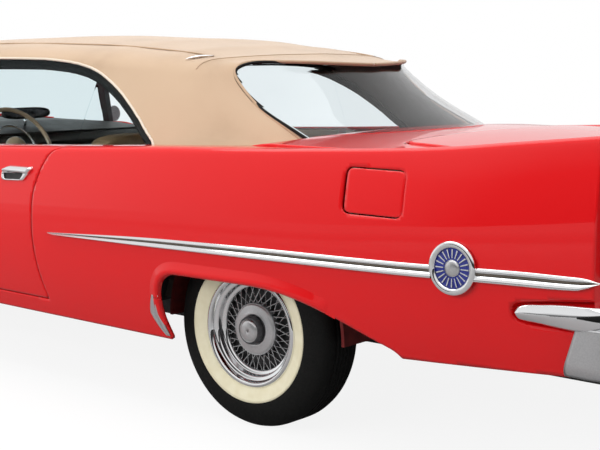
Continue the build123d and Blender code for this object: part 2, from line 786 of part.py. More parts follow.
def arch_sketch(x, inset):
    """The roof's front arch, inset all round, as a filled outline in the car's cross plane."""
    s = top_stations[0]
    base_y = s.base_y * broad
    edge = (s.edge_y * broad - inset, s.edge_z - inset)
    with BuildSketch(Plane.YZ.offset(x)) as outline:
        with BuildLine():
            Polyline((-edge[0], edge[1]), (-base_y, s.base_z - 200), (base_y, s.base_z - 200), edge)
            ThreePointArc(edge, (0, s.crown_z - inset), (-edge[0], edge[1]))
        make_face()
    return outline.sketch


with BuildPart() as header:
    extrude(arch_sketch(header_x, 0), amount=header_depth)
    extrude(arch_sketch(header_x, header_rail), amount=header_depth, mode=Mode.SUBTRACT)
    low = top_stations[0].edge_z - header_rail
    add(block(everywhere, everywhere, (0, low)), mode=Mode.SUBTRACT)

with BuildPart() as windshield_frame:
    add(header.part)
    add(post_shape(0))
    mirror(post_shape(0), about=Plane.XZ)
export(windshield_frame.part, "windshield_frame")


def screen_sketch(z, corner):
    """Plan of the wrapped pane at one height: an arc of constant thickness."""
    x, y, middle = corner
    with BuildSketch(Plane.XY.offset(z)) as outline:
        with BuildLine():
            ThreePointArc((x, y), (middle, 0), (x, -y))
            Line((x, -y), (x - glass, -y))
            ThreePointArc((x - glass, -y), (middle - glass, 0), (x - glass, y))
            Line((x - glass, y), (x, y))
        make_face()
    return outline.sketch


cowl_room = crowned(
    [Crown(s_x, hood_edge_y + 60, z - 4, c) for s_x, z, c in (
        (cowl_front_x + 40, 908, 939.5), (fender_rear_x, 914, 946.5), (cowl_rear_x, 914, 946.5)
    )],
    200.0,
)
with BuildPart() as screen_glass:
    ends = [screen_sketch(screen_z[0], screen_foot), screen_sketch(screen_z[1], screen_head)]
    loft(sections=ends, ruled=True)
    extrude(arch_sketch(header_x, header_rail + seat_clearance), amount=600, mode=Mode.INTERSECT)
    add(cowl_room, mode=Mode.SUBTRACT)
    add(post_shape(seat_clearance), mode=Mode.SUBTRACT)
    mirror(post_shape(seat_clearance), about=Plane.XZ, mode=Mode.SUBTRACT)

with BuildPart() as fixed_glass:
    add(rear_glass.part)
    add(quarter_pane.part)
    mirror(quarter_pane.part, about=Plane.XZ)
    for solid in screen_glass.part.solids().sort_by(SortBy.VOLUME)[-1:]:
        add(solid)
export(fixed_glass.part, "fixed_glass")

# Chassis rails with a rise over the rear axle, drawn in side view
rail_line = [
    (front_x - 30, 335), (front_axle_x + 506 * stretch, 335),
    (front_axle_x + 276 * stretch, rail_z), (rear_axle_x + 506 * stretch, rail_z),
    (rear_axle_x + 276 * stretch, 440), (rear_axle_x - 284 * stretch, 440),
    (rear_axle_x - 494 * stretch, 350), (rear_x + 54, 350),
]
rail_y = (rail_inner_y, rail_inner_y + rail_width)
with BuildPart() as frame_rails:
    add(plate(rail_line + [(x, z + rail_depth) for x, z in rail_line[::-1]], rail_y))
    mirror(about=Plane.XZ)
export(frame_rails.part, "frame_rails")

# Crossmembers between the rails; the front one carries the wishbones
Cross = namedtuple("Cross", "x wide low high")
cross_members = [
    Cross(front_axle_x + 690 * stretch, 60, 345, 380),
    Cross(front_axle_x, 120, 275, 320),
    Cross(rear_axle_x + 1700 * stretch, 80, 275, 318),
    Cross(rear_axle_x - 300 * stretch, 70, 455, 500),
]
upright_z = (250.0, 440.0)
arm_wide = 70.0
arm_deep = 30.0
with BuildPart() as crossmembers:
    for c in cross_members:
        add(block((c.x - c.wide / 2, c.x + c.wide / 2), (-rail_inner_y, rail_inner_y), (c.low, c.high)))
    for side in (1, -1):
        for low in (upright_z[0] - 0.5 - arm_deep, upright_z[1] + 0.5):
            add(block(
                (front_axle_x - arm_wide / 2, front_axle_x + arm_wide / 2),
                (side * (rail_y[1] + apron), side * (kingpin_y + 25)),
                (low, low + arm_deep),
            ))
export(crossmembers.part, "crossmembers")

# Floor: toe board, flat floor, seat step, rise over the axle and boot floor, with a tunnel for the gearbox
floor_z = rail_z + rail_depth
toe_line = [(firewall_x, 560), (door_front_x - 10, floor_z)]
heel_x = rear_axle_x + wheelhouse_radius + wheelhouse_wall + 11
cabin_line = [
    (door_front_x - 10, floor_z), (rear_axle_x + 706 * stretch, floor_z),
    (rear_axle_x + 656 * stretch, 465), (heel_x, 465),
]
boot_line = [
    (heel_x, 465), (heel_x - 80, 545), (rear_axle_x - 344 * stretch, 545),
    (rear_axle_x - 494 * stretch, 440), (tail_panel_x[1], 440),
]


def sheet_profile(line):
    """A folded sheet of floor thickness from its underside line."""
    return line + [(x, z + floor_thickness) for x, z in line[::-1]]


with BuildPart() as floor_pan:
    add(plate(sheet_profile(cabin_line), (-floor_half, floor_half)))
    add(plate(sheet_profile(toe_line), (-toe_half, toe_half)))
    add(plate(sheet_profile(boot_line), (-wheelhouse_inner_y, wheelhouse_inner_y)))
    add(block(
        (rear_axle_x + 656 * stretch, firewall_x - 20), (-tunnel_half, tunnel_half), (floor_z, tunnel_top)
    ))
    add(
        block(
            (rear_axle_x + 640 * stretch, firewall_x + 20),
            (-tunnel_half + apron, tunnel_half - apron),
            (rail_z, tunnel_top - apron),
        ),
        mode=Mode.SUBTRACT,
    )
export(floor_pan.part, "floor_pan")

# Wheelhouses: half drums over the rear wheels, flat aprons inside the front ones
with BuildPart() as wheel_houses:
    with BuildSketch(Plane.XZ.offset(-wheelhouse_inner_y)):
        with Locations((rear_axle_x, tyre_radius)):
            Circle(wheelhouse_radius + wheelhouse_wall)
        add(Rectangle(length, 2 * tyre_radius, mode=Mode.PRIVATE), mode=Mode.SUBTRACT)
    extrude(amount=wheelhouse_inner_y - wall_inner_y)
    with BuildSketch(Plane.XZ.offset(-wheelhouse_inner_y - wheelhouse_wall)):
        with Locations((rear_axle_x, tyre_radius)):
            Circle(wheelhouse_radius)
    extrude(amount=wheelhouse_inner_y - wall_inner_y, mode=Mode.SUBTRACT)
    add(
        block((rear_axle_x - 60, rear_axle_x + 60), (0, wall_inner_y - 60), (0, tyre_radius + 110)),
        mode=Mode.SUBTRACT,
    )
    add(block(
        (firewall_x + skin, fender_front_x - skin), (rail_y[1], rail_y[1] + apron), (300, 780)
    ))
    mirror(about=Plane.XZ)
export(wheel_houses.part, "wheel_houses")

# Engine and gearbox as one plain block, radiator ahead of it
with BuildPart() as engine_block:
    add(block((firewall_x + 60, front_axle_x + 450 * stretch), (-280, 280), (320, 780)))
    add(block((firewall_x - 640 * stretch, firewall_x + 60), (-110, 110), (330, 440)))
export(engine_block.part, "engine_block")
radiator_x = (front_axle_x + 664 * stretch, front_axle_x + 714 * stretch)
radiator_half = rail_inner_y - 20
export(block(radiator_x, (-radiator_half, radiator_half), (380, 780)), "radiator")

# Front panel between the fenders with a wide four-sided opening, and the egg-crate grille in it
grille_z = (470.0, 790.0)
grille_margin = 92.0
grille_low_half = fender_inner_y - grille_margin
grille_high_half = grille_low_half - 80.0
grille_frame = 18.0
grille_bar = 6.0
grille_depth = 30.0
grille_columns = 22
grille_rows = 6


def grille_outline(x, grow):
    """Front view of the grille opening, wider at its foot."""
    with BuildSketch(Plane.YZ.offset(x)) as outline:
        with BuildLine():
            Polyline(
                (-grille_low_half - grow, grille_z[0] - grow),
                (grille_low_half + grow, grille_z[0] - grow),
                (grille_high_half + grow, grille_z[1] + grow),
                (-grille_high_half - grow, grille_z[1] + grow),
                close=True,
            )
        make_face()
    return outline.sketch


with BuildPart() as front_panel:
    with BuildSketch(Plane.YZ.offset(fender_front_x - skin)):
        with BuildLine():
            Polyline(
                (fender_inner_y, 806), (fender_inner_y, 430), (-fender_inner_y, 430), (-fender_inner_y, 806)
            )
            ThreePointArc((-fender_inner_y, 806), (0, 832), (fender_inner_y, 806))
        make_face()
    extrude(amount=skin)
    extrude(grille_outline(fender_front_x - 2 * skin, seat_clearance), amount=3 * skin, mode=Mode.SUBTRACT)
export(front_panel.part, "front_panel")

with BuildPart() as grille:
    frame_x = fender_front_x - skin
    extrude(grille_outline(frame_x, 0), amount=grille_depth + 10)
    extrude(grille_outline(frame_x, -grille_frame), amount=grille_depth + 10, mode=Mode.SUBTRACT)
    with BuildPart(mode=Mode.PRIVATE) as lattice:
        for i in range(1, grille_columns):
            y = grille_low_half * (2 * i / grille_columns - 1)
            add(block(
                (fender_front_x - skin, fender_front_x - skin + grille_depth),
                (y - grille_bar / 2, y + grille_bar / 2), grille_z,
            ))
        for i in range(1, grille_rows):
            z = grille_z[0] + (grille_z[1] - grille_z[0]) * i / grille_rows
            add(block(
                (fender_front_x - skin, fender_front_x - skin + grille_depth),
                (-grille_low_half, grille_low_half), (z - grille_bar / 2, z + grille_bar / 2),
            ))
        inside = grille_outline(fender_front_x - 2 * skin, -grille_frame / 2)
        extrude(inside, amount=4 * skin, mode=Mode.INTERSECT)
    add(lattice.part)
export(grille.part, "grille")

# Front bumper wraps the nose below the grille
with BuildPart() as front_bumper:
    bar_end_x = -front_x + 224 * stretch
    bar_half = wrap_band(bar_end_x, half_width - 15, -front_x, 150.0, 30.0, (400.0, 545.0), 10.0)
    mirror(bar_half, about=Plane.YZ)
    mirror(about=Plane.XZ)
export(front_bumper.part, "front_bumper")

# Tall tail lamps stand in the fins' rear ends
lamp_wide = 60.0
tail_lamp_z = (690.0, 1030.0)
with BuildPart() as tail_lamps:
    with BuildSketch(Plane.YZ.offset(rear_axle_x - 1360 * stretch)):
        with Locations((half_width - 85, (tail_lamp_z[0] + tail_lamp_z[1]) / 2)):
            SlotOverall(tail_lamp_z[1] - tail_lamp_z[0], lamp_wide, rotation=90)
    extrude(amount=-24)
    mirror(about=Plane.XZ)
export(tail_lamps.part, "tail_lamps")

# Side spears: a tapered bar along each flank with a round medallion
spear_tip_x = rear_axle_x + 916.0 * stretch
spear_rear_x = rear_axle_x - 1340.0 * stretch
medal_x = rear_axle_x - 912.0 * stretch
medal_z = 685.0
medal_radius = 80.0
spear_proud = 14.0
spear_line = [
    (spear_tip_x, 612), (rear_axle_x + 293 * stretch, 622),
    (rear_axle_x - 730 * stretch, 647), (spear_rear_x, 676),
    (spear_rear_x, 714), (rear_axle_x - 730 * stretch, 687),
    (rear_axle_x + 293 * stretch, 654), (spear_tip_x, 622),
]
with BuildPart() as side_spears:
    with BuildSketch(Plane.XZ):
        with BuildLine():
            Polyline(*spear_line, close=True)
        make_face()
        with Locations((medal_x, medal_z)):
            Circle(medal_radius)
    extrude(amount=-half_width - spear_proud)
    add(block(everywhere, (0, half_width - 40), everywhere), mode=Mode.SUBTRACT)
    add(quarter_left.part, mode=Mode.SUBTRACT)
    mirror(about=Plane.XZ)
export(side_spears.part, "side_spears")

# Seats: a bench in front and one behind, each a cushion and a back
Cushion = namedtuple("Cushion", "x half low high rounding")


def bench(parts):
    """A bench seat from upholstered blocks with rounded edges."""
    with BuildPart() as made:
        for c in parts:
            with BuildPart(mode=Mode.PRIVATE) as pad:
                add(block(c.x, (-c.half, c.half), (c.low, c.high)))
                fillet(pad.edges().filter_by(Axis.Y).group_by(Axis.Z)[-1], radius=c.rounding)
            add(pad.part)
    return made.part


seat_back_x = rear_axle_x + 966.0 * stretch
front_seat = bench([
    Cushion((seat_back_x + 140, seat_back_x + 700), wall_inner_y - 200, floor_z + floor_thickness, 600, 60),
    Cushion((seat_back_x, seat_back_x + 140), wall_inner_y - 200, floor_z + floor_thickness, 962, 60),
])
with BuildPart() as front_bench:
    add(front_seat)
    add(block(everywhere, (-tunnel_half, tunnel_half), (0, tunnel_top)), mode=Mode.SUBTRACT)
export(front_bench.part, "front_seat")
rear_back_x = heel_x - 144
rear_seat = bench([
    Cushion((rear_back_x + 146, rear_back_x + 518), wheelhouse_inner_y - 10, 465 + floor_thickness, 640, 50),
    Cushion((rear_back_x, rear_back_x + 142), wheelhouse_inner_y - 10, 545 + floor_thickness, 930, 50),
])
export(rear_seat, "rear_seat")

# Dashboard with the steering column under it
dash_x = (dash_rear_x, cowl_rear_x)
rake = radians(steering_rake)
column_radius = 22.0
shaft_radius = 10.0
column_plane = Plane(
    origin=steering_centre, x_dir=(0, 1, 0), z_dir=(cos(rake), 0, -sin(rake))
)
column_start = 40.0
column_length = 640.0
with BuildPart() as dashboard:
    add(plate(
        [
            (dash_x[1], 900), (dash_x[0] + 60, 905), (dash_x[0], 850), (dash_x[0] + 40, 720),
            (dash_x[0] + 140, 700), (dash_x[1], 700),
        ],
        (-hood_edge_y, hood_edge_y),
    ))
    with BuildSketch(column_plane.offset(column_start)):
        Circle(column_radius)
    extrude(amount=column_length)
    with BuildSketch(column_plane.offset(-10)):
        Circle(shaft_radius)
    extrude(amount=column_start + 20)
    bracket_x = dash_x[0] + 150
    add(block((bracket_x, bracket_x + 40), (steering_centre[1] - 18, steering_centre[1] + 18), (600, 705)))
export(dashboard.part, "dashboard")

with BuildPart() as steering_wheel:
    with BuildSketch(Plane(origin=steering_centre, x_dir=(cos(rake), 0, -sin(rake)), z_dir=(0, -1, 0))):
        with Locations((0, steering_radius)):
            RegularPolygon(rim_thickness, 8)
    revolve(axis=Axis(steering_centre, (cos(rake), 0, -sin(rake))))
    with BuildSketch(column_plane.offset(-16)):
        Circle(46)
    extrude(amount=46)
    with BuildSketch(column_plane.offset(-4)):
        Rectangle(2 * steering_radius - rim_thickness, 26)
    extrude(amount=10)
    with BuildSketch(column_plane.offset(-12)):
        Circle(shaft_radius + running_clearance)
    extrude(amount=60, mode=Mode.SUBTRACT)
export(steering_wheel.part, "steering_wheel")

# Knuckles: upright on the kingpin line and a stub axle
stub_end = 50.0
with BuildPart() as knuckle_left:
    with BuildSketch(Plane.XY.offset(upright_z[0])):
        with Locations((front_axle_x, kingpin_y)):
            Circle(28)
    extrude(amount=upright_z[1] - upright_z[0])
    with BuildSketch(Plane.XZ.offset(-kingpin_y)):
        with Locations((front_axle_x, tyre_radius)):
            Circle(spindle_radius)
    extrude(amount=kingpin_y - wheel_y_front - stub_end)
export(knuckle_left.part, "knuckle_left")
export(mirrored(knuckle_left.part), "knuckle_right")

# Rear axle with differential, leaf springs and propeller shaft
spring_room = wheelhouse_inner_y - rail_y[1]
spring_y = (rail_y[1] + 0.1875 * spring_room, rail_y[1] + 0.5625 * spring_room)
diff_radius = 140.0
with BuildPart() as rear_axle:
    with BuildSketch(Plane.XZ.offset(-wheel_y_rear + 110)):
        with Locations((rear_axle_x, tyre_radius)):
            Circle(40)
    extrude(amount=2 * wheel_y_rear - 220)
    with BuildSketch(Plane.XZ.offset(-wheel_y_rear - stub_end)):
        with Locations((rear_axle_x, tyre_radius)):
            Circle(spindle_radius)
    extrude(amount=2 * wheel_y_rear + 2 * stub_end)
    with BuildSketch(Plane.YZ.offset(rear_axle_x - 110 * stretch)):
        with Locations((0, tyre_radius)):
            Circle(diff_radius - 20)
    extrude(amount=220)
    with BuildSketch(Plane.YZ.offset(rear_axle_x)):
        with Locations((0, tyre_radius + 25)):
            Circle(34)
    extrude(amount=firewall_x - 640 * stretch - rear_axle_x)
    for side in (1, -1):
        leaf = [
            (rear_axle_x + 640 * stretch, 290), (rear_axle_x, 250), (rear_axle_x - 640 * stretch, 345),
            (rear_axle_x - 640 * stretch, 375), (rear_axle_x, 320), (rear_axle_x + 640 * stretch, 318),
        ]
        add(plate(leaf, (side * spring_y[0], side * spring_y[1])))
        for x, z in ((rear_axle_x + 620 * stretch, 290), (rear_axle_x - 620 * stretch, 360)):
            add(block((x - 15, x + 15), (side * rail_y[1], side * spring_y[0]), (z, z + 20)))
export(rear_axle.part, "rear_axle")

# Twin exhaust with mufflers, fuel tank under the boot floor
pipe_y = rail_inner_y - 90.0
pipe_z = 240.0
with BuildPart() as exhaust_system:
    with BuildSketch(Plane.YZ.offset(rear_x + 120 * stretch)):
        with Locations((pipe_y, pipe_z)):
            Circle(27)
    extrude(amount=firewall_x + 140 * stretch - rear_x)
    with BuildSketch(Plane.YZ.offset(rear_axle_x + 650 * stretch)):
        with Locations((pipe_y, pipe_z)):
            Circle(62)
    extrude(amount=620)
    add(block(
        (firewall_x + 180 * stretch, firewall_x + 240 * stretch), (pipe_y - 20, pipe_y + 20), (pipe_z, 320)
    ))
    mirror(about=Plane.XZ)
export(exhaust_system.part, "exhaust_system")
tank_x = (rear_axle_x - 1050 * stretch, rear_axle_x - 550 * stretch)
export(block(tank_x, (-rail_inner_y + 6, rail_inner_y - 6), (300, 440)), "fuel_tank")

# Tyres and wheels, drawn once about their own axle and set at the four corners
tyre_line = [
    (bead_radius, -74), (254, -tyre_half_width), (318, -93), (tyre_radius, -52),
    (tyre_radius, 52), (318, 93), (254, tyre_half_width), (bead_radius, 74),
]
rim_radius = bead_radius - seat_clearance
wheel_line = [
    (spindle_radius + running_clearance, -20), (hub_radius, -20), (hub_radius, 30), (170, 30), (170, -74),
    (rim_radius, -74), (rim_radius, 80), (152, 62), (150, 46), (92, 46), (88, 84), (46, 98), (0, 98),
    (0, stub_end + 6), (spindle_radius + running_clearance, stub_end + 6),
]
spoke_ring = (84.0, 156.0)
Corner = namedtuple("Corner", "name x y side")
corners = [
    Corner("front_left", front_axle_x, wheel_y_front, 1),
    Corner("front_right", front_axle_x, wheel_y_front, -1),
    Corner("rear_left", rear_axle_x, wheel_y_rear, 1),
    Corner("rear_right", rear_axle_x, wheel_y_rear, -1),
]
for c in corners:
    hub = Plane(origin=(c.x, c.side * c.y, tyre_radius), x_dir=(1, 0, 0), z_dir=(0, 0, 1))
    with BuildPart() as tyre:
        with BuildSketch(hub):
            with BuildLine():
                Polyline(*[(r, c.side * y) for r, y in tyre_line], close=True)
            make_face()
        revolve(axis=Axis(hub.origin, (0, 1, 0)))
    export(tyre.part, f"tyre_{c.name}")
    with BuildPart() as wheel:
        with BuildSketch(hub):
            with BuildLine():
                Polyline(*[(r, c.side * y) for r, y in wheel_line], close=True)
            make_face()
        revolve(axis=Axis(hub.origin, (0, 1, 0)))
        face = Plane(origin=(c.x, c.side * (c.y + 58), tyre_radius), x_dir=(1, 0, 0), z_dir=(0, c.side, 0))
        with BuildSketch(face):
            with PolarLocations((spoke_ring[0] + spoke_ring[1]) / 2, spoke_count):
                Rectangle(spoke_ring[1] - spoke_ring[0], 5)
        extrude(amount=4)
    export(wheel.part, f"wheel_{c.name}")
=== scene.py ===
import json
import math

import bmesh
import bpy
import numpy as np
from mathutils import Matrix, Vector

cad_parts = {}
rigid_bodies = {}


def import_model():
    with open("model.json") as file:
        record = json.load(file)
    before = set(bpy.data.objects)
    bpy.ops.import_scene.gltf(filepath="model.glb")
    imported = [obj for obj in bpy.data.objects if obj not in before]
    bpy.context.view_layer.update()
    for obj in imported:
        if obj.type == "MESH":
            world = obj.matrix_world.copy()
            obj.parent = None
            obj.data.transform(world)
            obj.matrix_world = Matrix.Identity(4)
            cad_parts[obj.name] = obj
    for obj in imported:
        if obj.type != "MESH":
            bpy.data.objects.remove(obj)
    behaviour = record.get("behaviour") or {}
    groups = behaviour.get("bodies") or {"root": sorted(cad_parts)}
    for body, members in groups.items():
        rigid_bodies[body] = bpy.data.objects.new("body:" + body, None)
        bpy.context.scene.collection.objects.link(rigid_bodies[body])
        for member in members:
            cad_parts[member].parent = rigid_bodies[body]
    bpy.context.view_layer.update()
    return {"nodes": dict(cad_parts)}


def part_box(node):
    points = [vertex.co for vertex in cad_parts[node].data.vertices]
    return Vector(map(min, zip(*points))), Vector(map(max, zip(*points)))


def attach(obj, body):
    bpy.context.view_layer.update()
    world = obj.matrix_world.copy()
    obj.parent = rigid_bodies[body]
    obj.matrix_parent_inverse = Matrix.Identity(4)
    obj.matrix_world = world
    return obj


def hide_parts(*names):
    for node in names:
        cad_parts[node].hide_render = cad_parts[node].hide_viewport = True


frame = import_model()
print("frame loaded:", len(frame["nodes"]), "nodes")

scene = bpy.context.scene
scene.view_settings.view_transform = "Standard"  # keeps the red saturated

# where the car's main lines lie, in metres, from the frame
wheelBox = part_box("tyre_rear_left")
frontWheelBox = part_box("tyre_front_left")
rearAxleX = float(wheelBox[0][0] + wheelBox[1][0]) / 2
frontAxleX = float(frontWheelBox[0][0] + frontWheelBox[1][0]) / 2
tyreRadius = float(wheelBox[1][2] - wheelBox[0][2]) / 2
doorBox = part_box("door_left")
doorFrontX = float(doorBox[1][0])
halfWidth = 0.990
panelGap = 0.006
bothSides = (("left", 1), ("right", -1))

# meshes from arrays


def gridOf(one, two):
    return np.meshgrid(one, two, indexing="ij")


def unit(ways):
    return ways / np.linalg.norm(ways, axis=1, keepdims=True)


def lengthAlong(line):
    # length run through at each point of a line
    return np.concatenate([[0], np.cumsum(np.linalg.norm(np.diff(line, axis=0), axis=1))])


def readAt(line, run):
    # a flat line's points at the given lengths along it
    at = lengthAlong(line)
    return np.stack([np.interp(run, at, line[:, 0]), np.interp(run, at, line[:, 1])], -1)


def pchip(knots, values, x):
    # monotone cubic through the knots: no overshoot between stations
    k = np.asarray(knots, float)
    v = np.asarray(values, float)
    order = np.argsort(k)
    k, v = k[order], v[order]
    h = np.diff(k)
    s = np.diff(v) / h
    m = np.zeros_like(v)
    same = s[:-1] * s[1:] > 0
    w1, w2 = 2 * h[1:] + h[:-1], h[1:] + 2 * h[:-1]
    inner = np.zeros_like(s[:-1])
    inner[same] = (w1 + w2)[same] / (w1[same] / s[:-1][same] + w2[same] / s[1:][same])
    m[1:-1] = inner
    m[0], m[-1] = s[0], s[-1]
    x = np.clip(x, k[0], k[-1])
    i = np.clip(np.searchsorted(k, x) - 1, 0, len(h) - 1)
    t = (x - k[i]) / h[i]
    a = (1 + 2 * t) * (1 - t) ** 2 * v[i] + t * (1 - t) ** 2 * h[i] * m[i]
    return a + t * t * (3 - 2 * t) * v[i + 1] + t * t * (t - 1) * h[i] * m[i + 1]


def gridFaces(rows, cols, closeRows=False, closeCols=False):
    # quads of a rows x cols grid, wrapped where it closes on itself
    r = np.arange(rows if closeRows else rows - 1)
    c = np.arange(cols if closeCols else cols - 1)
    r, c = gridOf(r, c)
    r1, c1 = (r + 1) % rows, (c + 1) % cols
    return np.stack([r * cols + c, r * cols + c1, r1 * cols + c1, r1 * cols + c], -1).reshape(-1, 4)


def addPiece(name, points, faces, material, body, slot, smooth=True, uv=None, outward=False, sheet=0.0):
    # one object at the origin from vertex and face arrays; outward turns its faces, sheet thickens it
    mesh = bpy.data.meshes.new(name)
    points = np.asarray(points, float).reshape(-1, 3)
    if isinstance(faces, np.ndarray):
        faces = faces.tolist()
    mesh.from_pydata(points.tolist(), [], faces)
    mesh.validate()
    mesh.polygons.foreach_set("use_smooth", np.full(len(mesh.polygons), smooth))
    if uv is not None:
        layer = mesh.uv_layers.new(name="uv")
        index = np.empty(len(mesh.loops), int)
        mesh.loops.foreach_get("vertex_index", index)
        layer.data.foreach_set("uv", np.asarray(uv, float).reshape(-1, 2)[index].ravel())
    mesh.update()
    piece = bpy.data.objects.new(name, mesh)
    scene.collection.objects.link(piece)
    piece.data.materials.append(material)
    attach(piece, body)
    if outward:
        turnOutward(piece)
    if sheet:
        thicken(piece, sheet)
    return piece


def turnOutward(piece):
    bm = bmesh.new()
    bm.from_mesh(piece.data)
    bmesh.ops.remove_doubles(bm, verts=bm.verts, dist=1e-6)
    bmesh.ops.recalc_face_normals(bm, faces=bm.faces)
    bm.to_mesh(piece.data)
    bm.free()


def thicken(piece, depth):
    # sheet thickness inward from the drawn face
    solid = piece.modifiers.new("sheet", "SOLIDIFY")
    solid.thickness = depth
    solid.offset = -1
    solid.use_even_offset = False
    return piece


def mergeGrids(parts):
    # several (points, faces) pairs as one
    points, faces, start = [], [], 0
    for p, f in parts:
        p = np.asarray(p, float).reshape(-1, 3)
        points.append(p)
        faces += (f + start).tolist() if isinstance(f, np.ndarray) else [[i + start for i in q] for q in f]
        start += len(p)
    return np.concatenate(points), faces


def flipY(points):
    return np.asarray(points, float).reshape(-1, 3) * (1, -1, 1)


def flipFaces(faces):
    return faces[:, ::-1] if isinstance(faces, np.ndarray) else [q[::-1] for q in faces]


def onSide(points, faces, way):
    # a left piece as it is, or turned over to the right
    return points * (1, way, 1), faces if way > 0 else faces[:, ::-1]


def mirrored(points, faces):
    # a left piece together with its right twin
    return mergeGrids([(points, faces), (flipY(points), flipFaces(faces))])


def spun(profile, centre, side=1, segments=96, close=False):
    # (radius, distance along the axle) profile turned about a wheel's axle
    profile = np.asarray(profile, float)
    a = np.linspace(0, 2 * np.pi, segments, endpoint=False)
    r, y = profile[:, 0], profile[:, 1]
    p = np.stack([
        centre[0] + np.outer(np.cos(a), r), np.broadcast_to(centre[1] + side * y, (segments, len(y))),
        centre[2] + np.outer(np.sin(a), r),
    ], -1)
    f = gridFaces(segments, len(y), closeRows=True, closeCols=close)
    return p.reshape(-1, 3), f if side < 0 else f[:, ::-1]


def facingAhead(profile, middle, segments=96, close=False):
    # (radius, distance ahead) profile turned about a line along the car
    profile = np.asarray(profile, float)
    a = np.linspace(0, 2 * np.pi, segments, endpoint=False)[:, None]
    r, h = profile[None, :, 0], profile[None, :, 1]
    y, z = middle[1] + r * np.cos(a), middle[2] + r * np.sin(a)
    p = np.stack(np.broadcast_arrays(middle[0] + h, y, z), -1)
    return p, gridFaces(segments, len(profile), closeRows=True, closeCols=close)


def carried(path, profile, closed=False, up=(0, 0, 1), scale=None):
    # a closed (across, up) profile carried along a path, kept upright
    path = np.asarray(path, float)
    profile = np.asarray(profile, float)
    n, m = len(path), len(profile)
    along = unit(np.roll(path, -1, 0) - np.roll(path, 1, 0) if closed else np.gradient(path, axis=0))
    up = np.broadcast_to(np.asarray(up, float), path.shape)
    across = unit(np.cross(along, up))
    rise = np.cross(across, along)
    size = np.ones((n, 1)) if scale is None else np.asarray(scale, float).reshape(n, -1)
    size = np.broadcast_to(size, (n, 2))
    p = (path[:, None] + across[:, None] * (profile[None, :, :1] * size[:, None, :1])
         + rise[:, None] * (profile[None, :, 1:] * size[:, None, 1:]))
    faces = gridFaces(n, m, closeRows=closed, closeCols=True).tolist()
    if not closed:
        faces += [list(range(m)), list(range((n - 1) * m, n * m))[::-1]]
    return p.reshape(-1, 3), faces


def ring(count, radiusA, radiusB=None):
    # points of an oval profile
    a = np.linspace(0, 2 * np.pi, count, endpoint=False)
    return np.stack([radiusA * np.cos(a), (radiusB or radiusA) * np.sin(a)], -1)


def roundedOutline(corners, radii, steps=10):
    # closed polygon with each corner turned by a quadratic curve of the given reach
    p = np.asarray(corners, float)
    before, after = np.roll(p, 1, 0) - p, np.roll(p, -1, 0) - p
    reach = np.broadcast_to(np.asarray(radii, float), len(p))[:, None]
    a = p + unit(before) * reach
    b = p + unit(after) * reach
    t = np.linspace(0, 1, steps)[None, :, None]
    return ((1 - t) ** 2 * a[:, None] + 2 * t * (1 - t) * p[:, None] + t * t * b[:, None]).reshape(-1, 2)


def circleCentre(a, b, c):
    # middle of the circle through three points
    (x0, y0), (x1, y1), (x2, y2) = a, b, c
    d = 2 * (x0 * (y1 - y2) + x1 * (y2 - y0) + x2 * (y0 - y1))
    q0, q1, q2 = x0**2 + y0**2, x1**2 + y1**2, x2**2 + y2**2
    cx = (q0 * (y1 - y2) + q1 * (y2 - y0) + q2 * (y0 - y1)) / d
    return cx, (q0 * (x2 - x1) + q1 * (x0 - x2) + q2 * (x1 - x0)) / d


def arcThrough(a, b, c, steps=16):
    # circular arc from a to c by way of b
    cx, cy = circleCentre(a, b, c)
    angles = np.unwrap([math.atan2(y - cy, x - cx) for x, y in (a, b, c)])
    t = np.linspace(angles[0], angles[2], steps)
    radius = math.hypot(a[0] - cx, a[1] - cy)
    return np.stack([cx + radius * np.cos(t), cy + radius * np.sin(t)], -1)


def outlineDistance(points, outline):
    # signed distance to a closed outline, positive inside, and the nearest point on it
    a = np.asarray(outline, float)
    b = np.roll(a, -1, 0)
    ab = b - a
    length = np.maximum((ab**2).sum(1), 1e-18)
    signed = np.empty(len(points))
    nearest = np.empty((len(points), 2))
    for start in range(0, len(points), 4000):
        p = points[start:start + 4000]
        ap = p[:, None] - a[None]
        t = np.clip((ap * ab).sum(-1) / length, 0, 1)
        q = a + t[..., None] * ab
        d = ((p[:, None] - q) ** 2).sum(-1)
        i = d.argmin(1)
        rows = np.arange(len(p))
        crosses = (a[None, :, 1] > p[:, None, 1]) != (b[None, :, 1] > p[:, None, 1])
        slope = np.where(np.abs(ab[:, 1]) < 1e-15, 1e-15, ab[:, 1])
        left = p[:, None, 0] < a[:, 0] + ab[:, 0] * (p[:, None, 1] - a[:, 1]) / slope
        inside = (crosses & left).sum(1) % 2 == 1
        signed[start:start + 4000] = np.where(inside, 1, -1) * np.sqrt(d[rows, i])
        nearest[start:start + 4000] = q[rows, i]
    return signed, nearest


def trimmed(u, v, keep, cuts=(), cell=0.010):
    # a (u, v) grid inside one outline and outside others, its border points moved onto them
    shape = u.shape
    points = np.stack([u.ravel(), v.ravel()], -1)
    depth, nearest = outlineDistance(points, keep)
    for outline in cuts:
        d, q = outlineDistance(points, outline)
        closer = -d < depth
        depth = np.where(closer, -d, depth)
        nearest = np.where(closer[:, None], q, nearest)
    moved = depth < 0.4 * cell
    points = np.where(moved[:, None], nearest, points)
    faces = gridFaces(*shape)
    faces = faces[(~moved[faces]).any(1)]
    used = np.unique(faces)
    renumber = np.full(len(points), -1)
    renumber[used] = np.arange(len(used))
    return points[used, 0], points[used, 1], renumber[faces]


# finishes


def newMaterial(name):
    material = bpy.data.materials.new(name)
    material.use_nodes = True
    nodes, links = material.node_tree.nodes, material.node_tree.links
    return material, nodes, links, nodes["Principled BSDF"]


